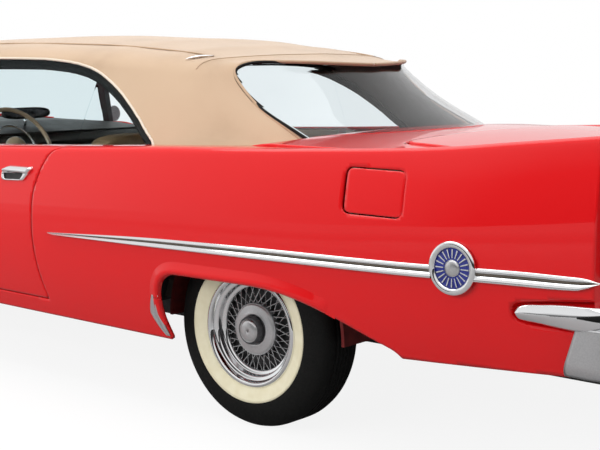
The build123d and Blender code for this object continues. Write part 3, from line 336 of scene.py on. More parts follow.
def noiseNode(nodes, links, scale, detail=2.0, coords=None):
    if coords is None:
        coords = nodes.new("ShaderNodeTexCoord").outputs["Object"]
    noise = nodes.new("ShaderNodeTexNoise")
    noise.inputs["Scale"].default_value = scale
    noise.inputs["Detail"].default_value = detail
    links.new(coords, noise.inputs["Vector"])
    return noise.outputs["Fac"]


def rampNode(nodes, links, source, stops):
    ramp = nodes.new("ShaderNodeValToRGB")
    marks = ramp.color_ramp.elements
    marks[0].position, marks[0].color = stops[0][0], (*stops[0][1], 1)
    marks[1].position, marks[1].color = stops[-1][0], (*stops[-1][1], 1)
    for place, colour in stops[1:-1]:
        marks.new(place).color = (*colour, 1)
    links.new(source, ramp.inputs["Fac"])
    return ramp.outputs["Color"]


def twoTone(nodes, links, source, one, two, socket):
    # from one value to the other over the middle of a noise
    links.new(rampNode(nodes, links, source, [(0.3, one), (0.7, two)]), socket)


def bumpNode(nodes, links, height, strength, distance, shader):
    bump = nodes.new("ShaderNodeBump")
    bump.inputs["Strength"].default_value = strength
    bump.inputs["Distance"].default_value = distance
    links.new(height, bump.inputs["Height"])
    links.new(bump.outputs["Normal"], shader.inputs["Normal"])


def mathNode(nodes, links, operation, *values):
    node = nodes.new("ShaderNodeMath")
    node.operation = operation
    for socket, value in zip(node.inputs, values):
        if isinstance(value, float):
            socket.default_value = value
        else:
            links.new(value, socket)
    return node.outputs[0]


def mapRange(nodes, links, source, *span):
    # span is from low, from high, to low, to high
    node = nodes.new("ShaderNodeMapRange")
    for socket, value in zip(("From Min", "From Max", "To Min", "To Max"), span):
        node.inputs[socket].default_value = value
    links.new(source, node.inputs["Value"])
    return node.outputs["Result"]


def mixColour(nodes, links, fac, one, two):
    mix = nodes.new("ShaderNodeMix")
    mix.data_type = "RGBA"
    links.new(fac, mix.inputs[0])
    for socket, value in ((mix.inputs[6], one), (mix.inputs[7], two)):
        if isinstance(value, tuple):
            socket.default_value = (*value, 1)
        else:
            links.new(value, socket)
    return mix.outputs[2]


def seenDirectly(nodes, links):
    # rays from the camera, also those that passed through glass
    path = nodes.new("ShaderNodeLightPath").outputs
    return mathNode(nodes, links, "MAXIMUM", path["Is Camera Ray"], path["Is Transmission Ray"])


def grey(v):
    return (v, v, v)


def plainFinish(name, colours, roughness, metallic=0.0, grain=60.0, bump=0.0, coat=0.0, rough=0.0,
                spec=0.5):
    # two close colours over a soft grain, with optional bump and varied roughness
    material, nodes, links, shader = newMaterial(name)
    fac = noiseNode(nodes, links, grain, 3.0)
    twoTone(nodes, links, fac, *colours, shader.inputs["Base Color"])
    shader.inputs["Metallic"].default_value = metallic
    shader.inputs["Specular IOR Level"].default_value = spec
    if rough:
        spots = noiseNode(nodes, links, grain * 0.35, 2.0)
        twoTone(nodes, links, spots, grey(roughness), grey(roughness + rough), shader.inputs["Roughness"])
    else:
        shader.inputs["Roughness"].default_value = roughness
    if coat:
        shader.inputs["Coat Weight"].default_value = coat
        shader.inputs["Coat Roughness"].default_value = 0.03
    if bump:
        bumpNode(nodes, links, fac, bump, 0.001, shader)
    return material


redPaint = plainFinish("redPaint", ((0.63, 0.004, 0.006), (0.66, 0.005, 0.007)), 0.38, grain=900,
                       bump=0.01, coat=0.8, spec=0.12)
redPaint.node_tree.nodes["Principled BSDF"].inputs["Coat IOR"].default_value = 1.45
darkRed = plainFinish("darkRed", ((0.10, 0.006, 0.006), (0.16, 0.010, 0.009)), 0.55, grain=40, rough=0.2)
chrome = plainFinish("chrome", ((0.86, 0.87, 0.88), (0.90, 0.90, 0.91)), 0.05, 1.0, grain=8, rough=0.03)
satinChrome = plainFinish("satinChrome", ((0.66, 0.66, 0.67), (0.74, 0.74, 0.75)), 0.30, 1.0, grain=200,
                          rough=0.06)
# chrome darkened for the wires: painted shade in the wheel's shaded middle
wireChrome = plainFinish("wireChrome", ((0.42, 0.42, 0.43), (0.60, 0.60, 0.61)), 0.16, 1.0, grain=90,
                         rough=0.08)
# dark grey-brown for the thin strip along the spear's middle: painted reflection of a dark band in the
# chrome
darkReflectionGrey = plainFinish("darkReflectionGrey", ((0.10, 0.085, 0.065), (0.15, 0.125, 0.10)), 0.45, 0.5, grain=40,
                        rough=0.1)
hemTape = plainFinish("hemTape", ((0.62, 0.54, 0.44), (0.70, 0.62, 0.52)), 0.8, grain=400, bump=0.2)
darkChrome = plainFinish("darkChrome", ((0.05, 0.05, 0.055), (0.11, 0.11, 0.115)), 0.35, 0.6, grain=60,
                         rough=0.1)
# black rubber for the tyres and seals; on the rear blade the same finish is painted dark reflection
blackRubberAndDarkReflection = plainFinish("blackRubberAndDarkReflection", ((0.004, 0.004, 0.004), (0.009, 0.009, 0.0085)), 0.60, grain=220,
                          bump=0.1, rough=0.12, spec=0.2)
whiteRubber = plainFinish("whiteRubber", ((0.74, 0.68, 0.48), (0.80, 0.75, 0.56)), 0.55, grain=30,
                          bump=0.03, rough=0.1)
# black paint for the frame, hinges and gutters; behind the wire wheels and in the door handle slots it is
# painted shade
blackPaintAndPaintedShade = plainFinish("blackPaintAndPaintedShade", ((0.012, 0.012, 0.013), (0.025, 0.025, 0.026)), 0.45, grain=25,
                         rough=0.15)
underSteel = plainFinish("underSteel", ((0.05, 0.05, 0.05), (0.11, 0.105, 0.10)), 0.6, 0.4, grain=30,
                         bump=0.1, rough=0.15)
castMetal = plainFinish("castMetal", ((0.20, 0.21, 0.22), (0.30, 0.31, 0.32)), 0.55, 0.5, grain=120,
                        bump=0.2, rough=0.1)
blueEnamel = plainFinish("blueEnamel", ((0.004, 0.012, 0.18), (0.008, 0.02, 0.24)), 0.2, grain=40, coat=0.6)
redLens = plainFinish("redLens", ((0.32, 0.004, 0.006), (0.42, 0.008, 0.010)), 0.12, grain=20, coat=1.0)


def glassFinish(name, tint, ior):
    material, nodes, links, shader = newMaterial(name)
    fac = noiseNode(nodes, links, 3.0)
    twoTone(nodes, links, fac, tint, tuple(0.985 * c for c in tint), shader.inputs["Base Color"])
    shader.inputs["Roughness"].default_value = 0.0
    shader.inputs["IOR"].default_value = ior
    shader.inputs["Transmission Weight"].default_value = 1.0
    return material


clearGlass = glassFinish("clearGlass", (0.84, 0.905, 0.92), 1.003)
rearGlass = glassFinish("rearGlass", (0.90, 0.91, 0.92), 1.22)


def clothFinish():
    # canvas: fine crossed threads along the sheet's own u and v, with a faint mottle
    material, nodes, links, shader = newMaterial("canvas")
    uv = nodes.new("ShaderNodeTexCoord").outputs["UV"]
    waves = []
    for axis in ("X", "Y"):
        wave = nodes.new("ShaderNodeTexWave")
        wave.bands_direction = axis
        wave.inputs["Scale"].default_value = 130.0
        wave.inputs["Distortion"].default_value = 0.6
        wave.inputs["Detail"].default_value = 1.0
        links.new(uv, wave.inputs["Vector"])
        waves.append(wave.outputs["Fac"])
    threads = mathNode(nodes, links, "MAXIMUM", *waves)
    blend = mathNode(nodes, links, "MULTIPLY_ADD", threads, 0.35, noiseNode(nodes, links, 5.0, 4.0))
    colour = rampNode(nodes, links, blend, [(0.35, (0.400, 0.277, 0.180)), (0.75, (0.496, 0.353, 0.238))])
    links.new(colour, shader.inputs["Base Color"])
    shader.inputs["Roughness"].default_value = 0.85
    shader.inputs["Sheen Weight"].default_value = 0.35
    shader.inputs["Sheen Roughness"].default_value = 0.4
    bumpNode(nodes, links, threads, 0.25, 0.0006, shader)
    return material


canvas = clothFinish()


def leatherFinish(name, dark, pale):
    material, nodes, links, shader = newMaterial(name)
    coords = nodes.new("ShaderNodeTexCoord").outputs["Object"]
    cells = nodes.new("ShaderNodeTexVoronoi")
    cells.inputs["Scale"].default_value = 380.0
    links.new(coords, cells.inputs["Vector"])
    fac = noiseNode(nodes, links, 14.0, 4.0, coords)
    twoTone(nodes, links, fac, dark, pale, shader.inputs["Base Color"])
    twoTone(nodes, links, fac, grey(0.42), grey(0.55), shader.inputs["Roughness"])
    bumpNode(nodes, links, cells.outputs["Distance"], 0.25, 0.0008, shader)
    return material


tanLeather = leatherFinish("tanLeather", (0.19, 0.118, 0.058), (0.25, 0.160, 0.082))
darkTrim = leatherFinish("darkTrim", (0.030, 0.026, 0.022), (0.050, 0.043, 0.036))
carpet = plainFinish("carpet", ((0.05, 0.035, 0.025), (0.10, 0.07, 0.05)), 0.95, grain=500, bump=0.6)
headliner = plainFinish("headliner", ((0.10, 0.09, 0.085), (0.14, 0.125, 0.115)), 0.9, grain=300, bump=0.15)
lampGlass = plainFinish("lampGlass", ((0.62, 0.66, 0.68), (0.70, 0.73, 0.74)), 0.06, grain=25, rough=0.03,
                        spec=0.8)
postGrey = plainFinish("postGrey", ((0.030, 0.030, 0.032), (0.045, 0.045, 0.047)), 0.5, grain=30, rough=0.1)
ivory = plainFinish("ivory", ((0.50, 0.36, 0.23), (0.56, 0.41, 0.27)), 0.25, grain=12, coat=0.5)
print("finishes ready")

# body wall: sill, flank and fin, one smooth surface from nose to tail

wallColumns = ("x", "sillIn", "sillZ", "bulgeIn", "bulgeZ", "creaseIn", "creaseZ")
wallStations = np.array([
    (rearAxleX - 1.360, 0.076, 0.408, 0.027, 0.680, 0.060, 1.083),
    (rearAxleX - 1.100, 0.063, 0.396, 0.012, 0.665, 0.051, 1.055),
    (rearAxleX - 0.800, 0.058, 0.379, 0.003, 0.650, 0.047, 1.023),
    (rearAxleX - 0.300, 0.055, 0.300, 0.000, 0.630, 0.045, 0.993),
    (rearAxleX + 0.350, 0.055, 0.283, 0.000, 0.610, 0.043, 0.958),
    (rearAxleX + 0.930, 0.055, 0.283, 0.000, 0.600, 0.044, 0.929),
    (rearAxleX + 1.700, 0.060, 0.283, 0.000, 0.595, 0.050, 0.900),
    (doorFrontX, 0.068, 0.283, 0.006, 0.590, 0.058, 0.884),
    (frontAxleX - 0.300, 0.062, 0.300, 0.004, 0.590, 0.060, 0.878),
    (frontAxleX, 0.060, 0.330, 0.006, 0.585, 0.066, 0.870),
    (frontAxleX + 0.420, 0.072, 0.385, 0.020, 0.580, 0.082, 0.858),
    (frontAxleX + 0.840, 0.110, 0.430, 0.062, 0.570, 0.112, 0.838),
])
beltBaseZ = ([-1.360, -1.100, -0.800, -0.300, 0.350, 0.930, 1.700, 2.490],
             [0.905, 0.945, 0.976, 0.992, 0.971, 0.944, 0.915, 0.898])
fenderTopZ = ([-0.720, -0.300, 0.000, 0.420, 0.840], [0.914, 0.908, 0.896, 0.876, 0.842])
wall = {"ridgeWidth": (0.024, 0.016), "ridgeRise": (0.005, 0.0125), "finRun": 0.034, "innerY": 0.840,
        "hoodEdgeY": 0.712, "roundStart": 0.016}
topRun = 0.045  # length along the top for each step of its curve


def wallAt(x):
    # the wall's values at x, each read from its own column
    stations = wallStations[:, 0]
    return {name: pchip(stations, wallStations[:, i], x) for i, name in enumerate(wallColumns) if i}


def flankY(s, z):
    # circle through sill, bulge and crease, read at height z
    sill, bulge, crease = ((halfWidth - s[k + "In"], s[k + "Z"]) for k in ("sill", "bulge", "crease"))
    cy, cz = circleCentre(sill, bulge, crease)
    return cy + np.sqrt((bulge[0] - cy) ** 2 + (bulge[1] - cz) ** 2 - (z - cz) ** 2)


def clampedWeights(count, t):
    # quadratic B-spline weights of count control points, t from 0 to count - 2
    k = np.concatenate([[0, 0], np.arange(count - 1), [count - 2, count - 2]]).astype(float)
    t = np.clip(t, 0, count - 2 - 1e-9)
    basis = [((t >= k[i]) & (t < k[i + 1])).astype(float) for i in range(len(k) - 1)]
    for d in (1, 2):
        basis = [((t - k[i]) / (k[i + d] - k[i]) * basis[i] if k[i + d] > k[i] else 0 * t)
                 + ((k[i + d + 1] - t) / (k[i + d + 1] - k[i + 1]) * basis[i + 1]
                    if k[i + d + 1] > k[i + 1] else 0 * t)
                 for i in range(len(basis) - 1)]
    return np.stack(basis, -1)


def wallPoint(x, w, fender=False):
    # (x, w) to a point on the left side: w is height up to the crease, then length over the top
    s = wallAt(x)
    start = s["creaseZ"] - wall["roundStart"]
    low = np.minimum(w, start)
    y, z = flankY(s, low), low
    crease = (halfWidth - s["creaseIn"], s["creaseZ"])
    # flat ridge along the fin, a steeper shoulder beside the windows
    shoulder = np.clip((x - rearAxleX + 0.2) / 0.5, 0, 1)
    ridge = (crease[0] - np.interp(shoulder, (0, 1), wall["ridgeWidth"]),
             crease[1] + np.interp(shoulder, (0, 1), wall["ridgeRise"]))
    if fender:
        topZ = pchip(np.array(fenderTopZ[0]) + frontAxleX, fenderTopZ[1], x)
        inner = (np.full_like(x, wall["hoodEdgeY"]), topZ)
        base = ((ridge[0] + inner[0]) / 2, (ridge[1] + topZ) / 2 + 0.012)
    else:
        baseZ = pchip(np.array(beltBaseZ[0]) + rearAxleX, beltBaseZ[1], x)
        base = (ridge[0] - wall["finRun"], baseZ)
        inner = (np.full_like(x, wall["innerY"]), baseZ)
    control = [(flankY(s, start), start), crease, ridge, base, inner]
    weights = np.moveaxis(clampedWeights(5, (w - start) / topRun), -1, 0)
    over = w > start
    y = np.where(over, sum(k * c[0] for k, c in zip(weights, control)), y)
    z = np.where(over, sum(k * c[1] for k, c in zip(weights, control)), z)
    return np.stack([x, y, z], -1)


def wallGrid(xLow, xHigh, zLow, step=0.010, rows=64, topRows=26):
    # columns every step along the car; rows share out the flank's height, then run over the top
    x = np.linspace(xLow, xHigh, int((xHigh - xLow) / step) + 1)
    start = wallAt(x)["creaseZ"] - wall["roundStart"]
    share = np.linspace(0, 1, rows)
    flank = zLow + (start[:, None] - zLow) * share
    over = start[:, None] + topRun * 3 * np.linspace(0, 1, topRows)[1:]
    w = np.concatenate([flank, over], 1)
    return np.repeat(x[:, None], w.shape[1], 1), w


def wallPanel(name, keep, cuts, xRange, zLow, body, fender=False, mirror=False, sheet=0.014):
    x, w = wallGrid(*xRange, zLow)
    u, v, faces = trimmed(x, w, keep, cuts)
    p = wallPoint(u, v, fender)
    if mirror:
        p, faces = flipY(p), faces[:, ::-1]
    return addPiece(name, p, faces, redPaint, body, "body_paint", sheet=sheet)


cut = {"foot": (-0.056, 0.351), "lower": (-0.014, 0.500), "middle": (0.0, 0.680), "upper": (-0.024, 0.832),
       "head": (-0.118, 0.960)}  # rear edge of the door from its rearmost point
doorRearX = rearAxleX + 1.014


def doorOutline(grow, front):
    back = [(doorRearX + cut[k][0] - grow, cut[k][1]) for k in ("foot", "lower", "middle", "upper", "head")]
    back[0] = (back[0][0], back[0][1] - grow)
    lower, upper = arcThrough(*back[:3], 24), arcThrough(*back[2:], 24)
    rest = [(back[4][0], 1.4), (front, 1.4), (front, back[0][1])]
    return np.concatenate([lower, upper[1:], rest])


arch = {"frontX": rearAxleX + 0.326, "topZ": 0.534, "rearTopX": rearAxleX - 0.290,
        "footX": rearAxleX - 0.707}
archOutline = roundedOutline(
    [(arch["frontX"] - 0.062, 0.20), (arch["frontX"], 0.385), (arch["frontX"], arch["topZ"]),
     (arch["rearTopX"], arch["topZ"] + 0.006), (arch["footX"], 0.384), (arch["footX"] - 0.05, 0.20)],
    [0.02, 0.05, 0.105, 0.19, 0.05, 0.02], 14)
fuel = {"x": (rearAxleX - 0.727, rearAxleX - 0.507), "z": (0.814, 0.950), "corner": 0.022}


def fuelOutline(grow):
    (x0, x1), (z0, z1) = fuel["x"], fuel["z"]
    corners = [(x0 - grow, z0 - grow), (x1 + grow, z0 - grow), (x1 + grow, z1 + grow),
               (x0 - grow, z1 + grow)]
    return roundedOutline(corners, fuel["corner"] + grow, 8)


tailX = rearAxleX - 1.345
quarterOutline = np.array([
    (doorFrontX + 0.008, 0.283), (doorFrontX + 0.008, 1.4), (tailX, 1.4), (tailX, 0.549),
    (rearAxleX - 1.295, 0.549), (rearAxleX - 1.264, 0.408), (rearAxleX - 0.987, 0.390),
    (rearAxleX - 0.813, 0.379), (rearAxleX - 0.680, 0.372), (arch["footX"] + 0.02, 0.283),
])
pocketOutline = np.array([(rearAxleX + x, z) for x, z in (
    (-1.091, 0.583), (-1.093, 0.593), (-1.099, 0.602), (-1.110, 0.609), (-1.124, 0.613), (-1.140, 0.616),
    (-1.216, 0.626), (-1.290, 0.634), (-1.420, 0.648), (-1.420, 0.540), (-1.290, 0.541), (-1.187, 0.543),
    (-1.140, 0.545), (-1.118, 0.549), (-1.105, 0.556), (-1.096, 0.567))])
for side in ("left", "right"):
    other = side == "right"
    cuts = [doorOutline(panelGap, doorFrontX + 0.05), archOutline, pocketOutline]
    if not other:
        cuts.append(fuelOutline(0.0045) + (0.0065, 0))
    quarter = wallPanel("quarterSkin_" + side, quarterOutline, cuts, (tailX - 0.02, doorFrontX + 0.02),
                        0.270, "body", mirror=other)
    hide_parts("rear_quarter_" + side)
    door = wallPanel("doorSkin_" + side, doorOutline(0, doorFrontX), [],
                     (doorRearX - 0.14, doorFrontX + 0.02), 0.34, "door_" + side, mirror=other, sheet=0.006)
    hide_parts("door_" + side)
fuelFlap = wallPanel("fuelFlap", fuelOutline(0), [], (fuel["x"][0] - 0.01, fuel["x"][1] + 0.01), 0.80,
                     "fuel_door", sheet=0.006)
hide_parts("fuel_door")

# the pocket's floor: the same wall pushed in by a smooth step from its outline
px, pz = gridOf(np.linspace(tailX, rearAxleX - 1.085, 66), np.linspace(0.536, 0.652, 32))
u, v, f = trimmed(px, pz, pocketOutline, [], 0.004)
pocketShape = {"depth": 0.030, "soft": 0.012}
step = np.clip(outlineDistance(np.stack([u, v], -1), pocketOutline)[0] / pocketShape["soft"], 0, 1)
pocket = wallPoint(u, v)
pocket[:, 1] -= pocketShape["depth"] * step**2 * (3 - 2 * step)
addPiece("bladePockets", *mirrored(pocket, f), redPaint, "body", "body_paint", sheet=0.003)

frontArch = {"radius": 0.405, "top": 0.318}
turn = np.linspace(-0.35, math.pi + 0.35, 60)
frontArchOutline = np.stack([
    frontAxleX + frontArch["radius"] * np.cos(turn),
    tyreRadius + np.minimum(frontArch["radius"] * np.sin(turn), frontArch["top"])], -1)
frontArchOutline = np.concatenate([frontArchOutline, [(frontAxleX - 0.3, 0.1), (frontAxleX + 0.3, 0.1)]])
noseX = frontAxleX + 0.840
fenderOutline = np.array([
    (doorFrontX + 0.008, 0.283), (doorFrontX + 0.008, 1.4), (noseX, 1.4), (noseX, 0.43),
    (frontAxleX + 0.42, 0.385), (frontAxleX + 0.3, 0.36), (frontAxleX - 0.3, 0.29)])
for side in ("left", "right"):
    fender = wallPanel("fenderSkin_" + side, fenderOutline, [frontArchOutline],
                       (doorFrontX - 0.01, noseX + 0.01), 0.270, "body", fender=True,
                       mirror=side == "right")
    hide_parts("front_fender_" + side)
print("body walls done")

# soft top: hoops from belt to crown, the last one being the rear window's edge


def hoop(x, baseY, baseZ, edgeY, edgeZ, crownZ):
    # control points of one upright hoop: leaning side, round shoulder, crowned roof
    rise = crownZ - edgeZ
    side = [(x, baseY + (edgeY - baseY) * k, baseZ + (edgeZ - baseZ) * k) for k in (0, 0.38, 0.74)]
    return side + [(x, edgeY + 0.014, edgeZ + 0.010), (x, edgeY * 0.70, edgeZ + rise * 0.62 + 0.006),
                   (x, edgeY * 0.34, crownZ - 0.002), (x, 0, crownZ)]


hoops = np.array([
    hoop(2.456, 0.858, 0.880, 0.668, 1.290, 1.352),
    hoop(1.750, 0.866, 0.880, 0.690, 1.306, 1.380),
    hoop(1.000, 0.866, 0.900, 0.680, 1.298, 1.369),
    [
        (0.716, 0.862, 0.915), (0.716, 0.806, 1.040), (0.716, 0.742, 1.170), (0.716, 0.676, 1.292),
        (0.706, 0.450, 1.326), (0.701, 0.220, 1.340), (0.696, 0, 1.344)],
    [
        (0.456, 0.838, 0.935), (0.466, 0.770, 1.045), (0.491, 0.702, 1.170), (0.531, 0.628, 1.278),
        (0.476, 0.420, 1.298), (0.451, 0.205, 1.308), (0.441, 0, 1.311)],
    [
        (0.206, 0.735, 0.962), (0.266, 0.690, 1.050), (0.356, 0.645, 1.165), (0.441, 0.588, 1.260),
        (0.316, 0.395, 1.272), (0.261, 0.198, 1.277), (0.244, 0, 1.278)],
    [
        (-0.029, 0.572, 0.975), (0.071, 0.571, 1.030), (0.226, 0.568, 1.105), (0.401, 0.548, 1.268),
        (0.191, 0.360, 1.268), (0.124, 0.180, 1.260), (0.106, 0, 1.256)],
]) + (rearAxleX, 0, 0)
windowEdge = np.array([
    (0.486, 0.935), (0.499, 0.958), (0.564, 1.013), (0.647, 1.078),
    (0.735, 1.138), (0.833, 1.190), (0.927, 1.228), (1.012, 1.249),
    (1.134, 1.264), (1.297, 1.272), (1.544, 1.273), (2.456, 1.262)]) + (rearAxleX, 0)


def topPoint(s, t):
    # s from 0 at the windscreen to 5 at the rear window, t from 0 at the belt to 5 at the crown
    along, over = clampedWeights(7, s), clampedWeights(7, t)
    return np.einsum("...i,...j,ijk->...k", along, over, hoops)


def edgeStart(s):
    # where each hoop meets the side window's edge, or 0 where it runs down to the belt
    t = np.linspace(0, 5, 400)
    p = topPoint(s[:, None] + 0 * t, 0 * s[:, None] + t)
    limit = pchip(windowEdge[:, 0], windowEdge[:, 1], p[..., 0])
    below = (p[..., 2] < limit) & (p[..., 0] > windowEdge[0, 0])
    last = np.where(below.any(1), below.shape[1] - 1 - below[:, ::-1].argmax(1), 0)
    return t[last]


def wholeWidth(half):
    # left half, belt to crown, joined to its mirror at the crown
    return np.concatenate([half, flipY(half[:, -2::-1]).reshape(half.shape[0], -1, 3)], 1)


alongTop = np.linspace(0, 5, 260)
lowT = edgeStart(alongTop)
share = np.linspace(0, 1, 76)
overTop = lowT[:, None] + (5 - lowT[:, None]) * share
topHalf = topPoint(np.repeat(alongTop[:, None], 76, 1), overTop)
# pulled a few millimetres taut between the bows
bows = np.array([0.9, 1.9, 2.9, 3.9])
sag = 0.004 * np.clip(1 - np.exp(-((alongTop[:, None] - bows) / 0.22) ** 2).sum(1), 0, 1)
topHalf[..., 2] -= sag[:, None] * share**0.5
topSheet = wholeWidth(topHalf)
across = lengthAlong(topSheet[120])
lengthways = lengthAlong(topSheet[:, 75])
topUv = np.stack(gridOf(lengthways, across), -1)
topFaces = flipFaces(gridFaces(*topSheet.shape[:2]))
softTop = addPiece("softTop", topSheet, topFaces, canvas, "body", "top_fabric", uv=topUv)
thicken(softTop, 0.004).modifiers["sheet"].material_offset = 1
softTop.data.materials.append(headliner)
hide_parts("soft_top")


def ribbonTube(name, path, radius, material, slot, flat=1.0):
    # a round cord or bead laid along a path, and its mirror
    points = mirrored(*carried(path, ring(10, radius, radius * flat)))
    return addPiece(name, *points, material, "body", slot, outward=True)


rearEdge = topPoint(np.full(120, 5.0), np.linspace(0, 5, 120))
rearWelt = ribbonTube("rearWelt", rearEdge + (0.002, 0, 0), 0.006, canvas, "top_fabric")
hemPath = topHalf[:, 0]
sideHem = ribbonTube("sideHem", hemPath, 0.005, hemTape, "top_fabric")
weltT = 3.05
weltPath = topPoint(np.linspace(0.0, 3.62, 160), np.full(160, weltT)) + (0, 0, 0.001)
roofWelt = ribbonTube("roofWelt", weltPath, 0.0045, canvas, "top_fabric", flat=0.7)
bowPath = topPoint(np.full(90, 3.95), np.linspace(2.2, 5, 90)) + (0, 0, 0.0005)
bowSeam = ribbonTube("bowSeam", bowPath, 0.0025, canvas, "top_fabric", flat=0.6)
tipRun = np.linspace(0, 1, 24)
tipPath = topPoint(3.40 + 0.24 * tipRun, 2.55 + 0.5 * tipRun) + (0, 0.001, 0.003)
tipScale = np.sin(np.pi * np.linspace(0.04, 0.96, 24))[:, None] * (1, 1)
tipGrid = carried(tipPath, ring(10, 0.008, 0.005), scale=tipScale)
topTips = addPiece("topTips", *mirrored(*tipGrid), chrome, "body", "chrome", outward=True)

# rear window: plan circles stacked by height, so that it wraps round
paneTable = {"z": [0.960, 1.000, 1.100, 1.237, 1.290], "centre": [0.296, 0.357, 0.542, 0.826, 0.946],
             "radius": [0.700, 0.686, 0.665, 0.721, 0.805]}


def panePoint(y, z):
    # the circle's rear half at height z, read at side distance y
    centre = rearAxleX + pchip(paneTable["z"], paneTable["centre"], z)
    radius = pchip(paneTable["z"], paneTable["radius"], z)
    return np.stack([centre - np.sqrt(np.maximum(radius**2 - y**2, 1e-6)), y, z], -1)


edgeYz = rearEdge[:, 1:]
yGrid, zGrid = gridOf(np.linspace(-0.60, 0.60, 130), np.linspace(0.955, 1.275, 60))
paneOutline = np.concatenate([edgeYz, (edgeYz * (-1, 1))[::-1]])
paneOutline = np.concatenate([paneOutline, [(-0.572, 0.955), (0.572, 0.955)]])
u, v, paneFaces = trimmed(yGrid, zGrid, paneOutline)
rearPane = addPiece("rearPane", panePoint(u, v) + (0.006, 0, 0), paneFaces, rearGlass, "body", "glass",
                    sheet=0.005)

# side glass: one leaning plane per side; the fixed quarter pane is drawn on it up to the split, the door's
# pane being the frame's own glass
sidePlane = {"lowY": 0.872, "lowZ": 0.920, "highY": 0.700, "highZ": 1.276}
splitX = rearAxleX + 0.900


def sidePlaneY(z):
    k = (z - sidePlane["lowZ"]) / (sidePlane["highZ"] - sidePlane["lowZ"])
    return sidePlane["lowY"] + (sidePlane["highY"] - sidePlane["lowY"]) * k


edgeX = np.linspace(windowEdge[0, 0], windowEdge[-1, 0], 150)
edgeZ = pchip(windowEdge[:, 0], windowEdge[:, 1], edgeX)
inset = 0.010
glassTop = np.stack([edgeX, edgeZ - inset], -1)
paneEnd = splitX - 0.003
paneFoot = [(paneEnd, 1.21), (paneEnd, 0.90), (windowEdge[0, 0], 0.90)]
quarterPane = np.concatenate([glassTop[edgeX < paneEnd] + (0.004, 0), paneFoot])
xg, zg = gridOf(np.linspace(windowEdge[0, 0] - 0.02, splitX + 0.02, 60), np.linspace(0.89, 1.29, 44))
u, v, quarterFaces = trimmed(xg, zg, quarterPane)
left = np.stack([u, sidePlaneY(v), v], -1)
quarterGlass = addPiece("quarterGlass", *mirrored(left, quarterFaces), clearGlass, "body", "glass",
                        sheet=0.005)
# windscreen: plan arc at the foot blended up to a flatter arc under the header
screenFoot = {"cornerX": frontAxleX - 0.666, "middleX": frontAxleX - 0.350, "halfY": 0.752,
              "cornerZ": 0.900, "middleZ": 0.948}
screenHead = {"cornerX": frontAxleX - 0.713, "middleX": frontAxleX - 0.689, "halfY": 0.648,
              "cornerZ": 1.266, "middleZ": 1.316}
side, up = gridOf(np.linspace(-1, 1, 90), np.linspace(0, 1, 40))


def screenCurve(e, k):
    bow = 1 - k**2
    return np.stack([e["cornerX"] + (e["middleX"] - e["cornerX"]) * bow, e["halfY"] * k,
                     e["cornerZ"] + (e["middleZ"] - e["cornerZ"]) * bow], -1)


screen = screenCurve(screenFoot, side) * (1 - up[..., None]) + screenCurve(screenHead, side) * up[..., None]
screen[..., 0] += 0.018 * np.sin(np.pi * up)
screenPane = addPiece("screenPane", screen, gridFaces(90, 40), clearGlass, "body", "glass", sheet=0.006)
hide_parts("fixed_glass")
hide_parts("fixed_glass")
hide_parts("fixed_glass")
# rubber round the side windows, the rear window and the screen
framed = lowT > 0
sealEdge = hemPath[framed][::-1]
sealWide = np.interp(sealEdge[:, 0], [windowEdge[0, 0], rearAxleX + 0.9, windowEdge[-1, 0]],
                     [0.034, 0.040, 0.056])
edgeWay = unit(np.gradient(sealEdge[:, [0, 2]], axis=0))
k = np.linspace(0, 1, 9)
deep = (-0.004 + (sealWide[:, None] + 0.004) * k)[..., None]
sealXz = sealEdge[:, None, [0, 2]] + np.stack([edgeWay[:, 1], -edgeWay[:, 0]], -1)[:, None] * deep
lean = sidePlaneY(sealXz[..., 1]) - sidePlaneY(sealEdge[:, 2:])
sealBead = 0.004 * np.sin(2 * np.pi * k) ** 2
sealY = np.minimum(sealEdge[:, 1:2] + lean, sidePlaneY(sealXz[..., 1])) - 0.012 + sealBead
sealGrid = np.stack([sealXz[..., 0], sealY, sealXz[..., 1]], -1)
f = gridFaces(*sealY.shape)
addPiece("sideSeals", *mirrored(sealGrid, f), blackRubberAndDarkReflection, "body", "top_fabric", outward=True, sheet=0.003)
ribbonTube("rearSeal", panePoint(edgeYz[4:-1, 0], edgeYz[4:-1, 1]) + (0.004, 0, -0.003), 0.006,
           blackRubberAndDarkReflection, "glass")
screenRim = np.concatenate([screen[:, 0], screen[-1, 1:], screen[-2::-1, -1], screen[0, -2:0:-1]])
p, f = carried(screenRim, ring(8, 0.010), closed=True, up=(0.6, 0, 0.8))
addPiece("screenSeal", p, f, blackRubberAndDarkReflection, "body", "glass", outward=True)
print("soft top and glass done")

# wheels: tyre with a cream band, stepped chrome trim, laced wire spokes over a black disc of painted shade,
# and a hub disc

grooves = []
for centre in (-0.040, -0.020, 0.0, 0.020, 0.040):
    grooves += [(tyreRadius, centre - 0.0035), (tyreRadius - 0.007, centre - 0.0025),
                (tyreRadius - 0.007, centre + 0.0025), (tyreRadius, centre + 0.0035)]
outerSide = [(0.3445, 0.054), (0.341, 0.067), (0.334, 0.080), (0.323, 0.091), (0.307, 0.0995),
             (0.289, 0.105), (0.271, 0.1075), (0.256, 0.1075), (0.242, 0.1050), (0.225, 0.1005),
             (0.207, 0.094), (0.196, 0.087), (0.190, 0.080)]
innerSide = [(r, -y) for r, y in outerSide[::-1]]
tyreProfile = innerSide + grooves + outerSide + [(0.186, 0.060), (0.186, -0.060)]
bandProfile = [(0.2535, 0.1040), (0.2525, 0.1090), (0.243, 0.1072), (0.228, 0.1030), (0.212, 0.0975),
               (0.203, 0.0930), (0.198, 0.0885), (0.196, 0.0815)]
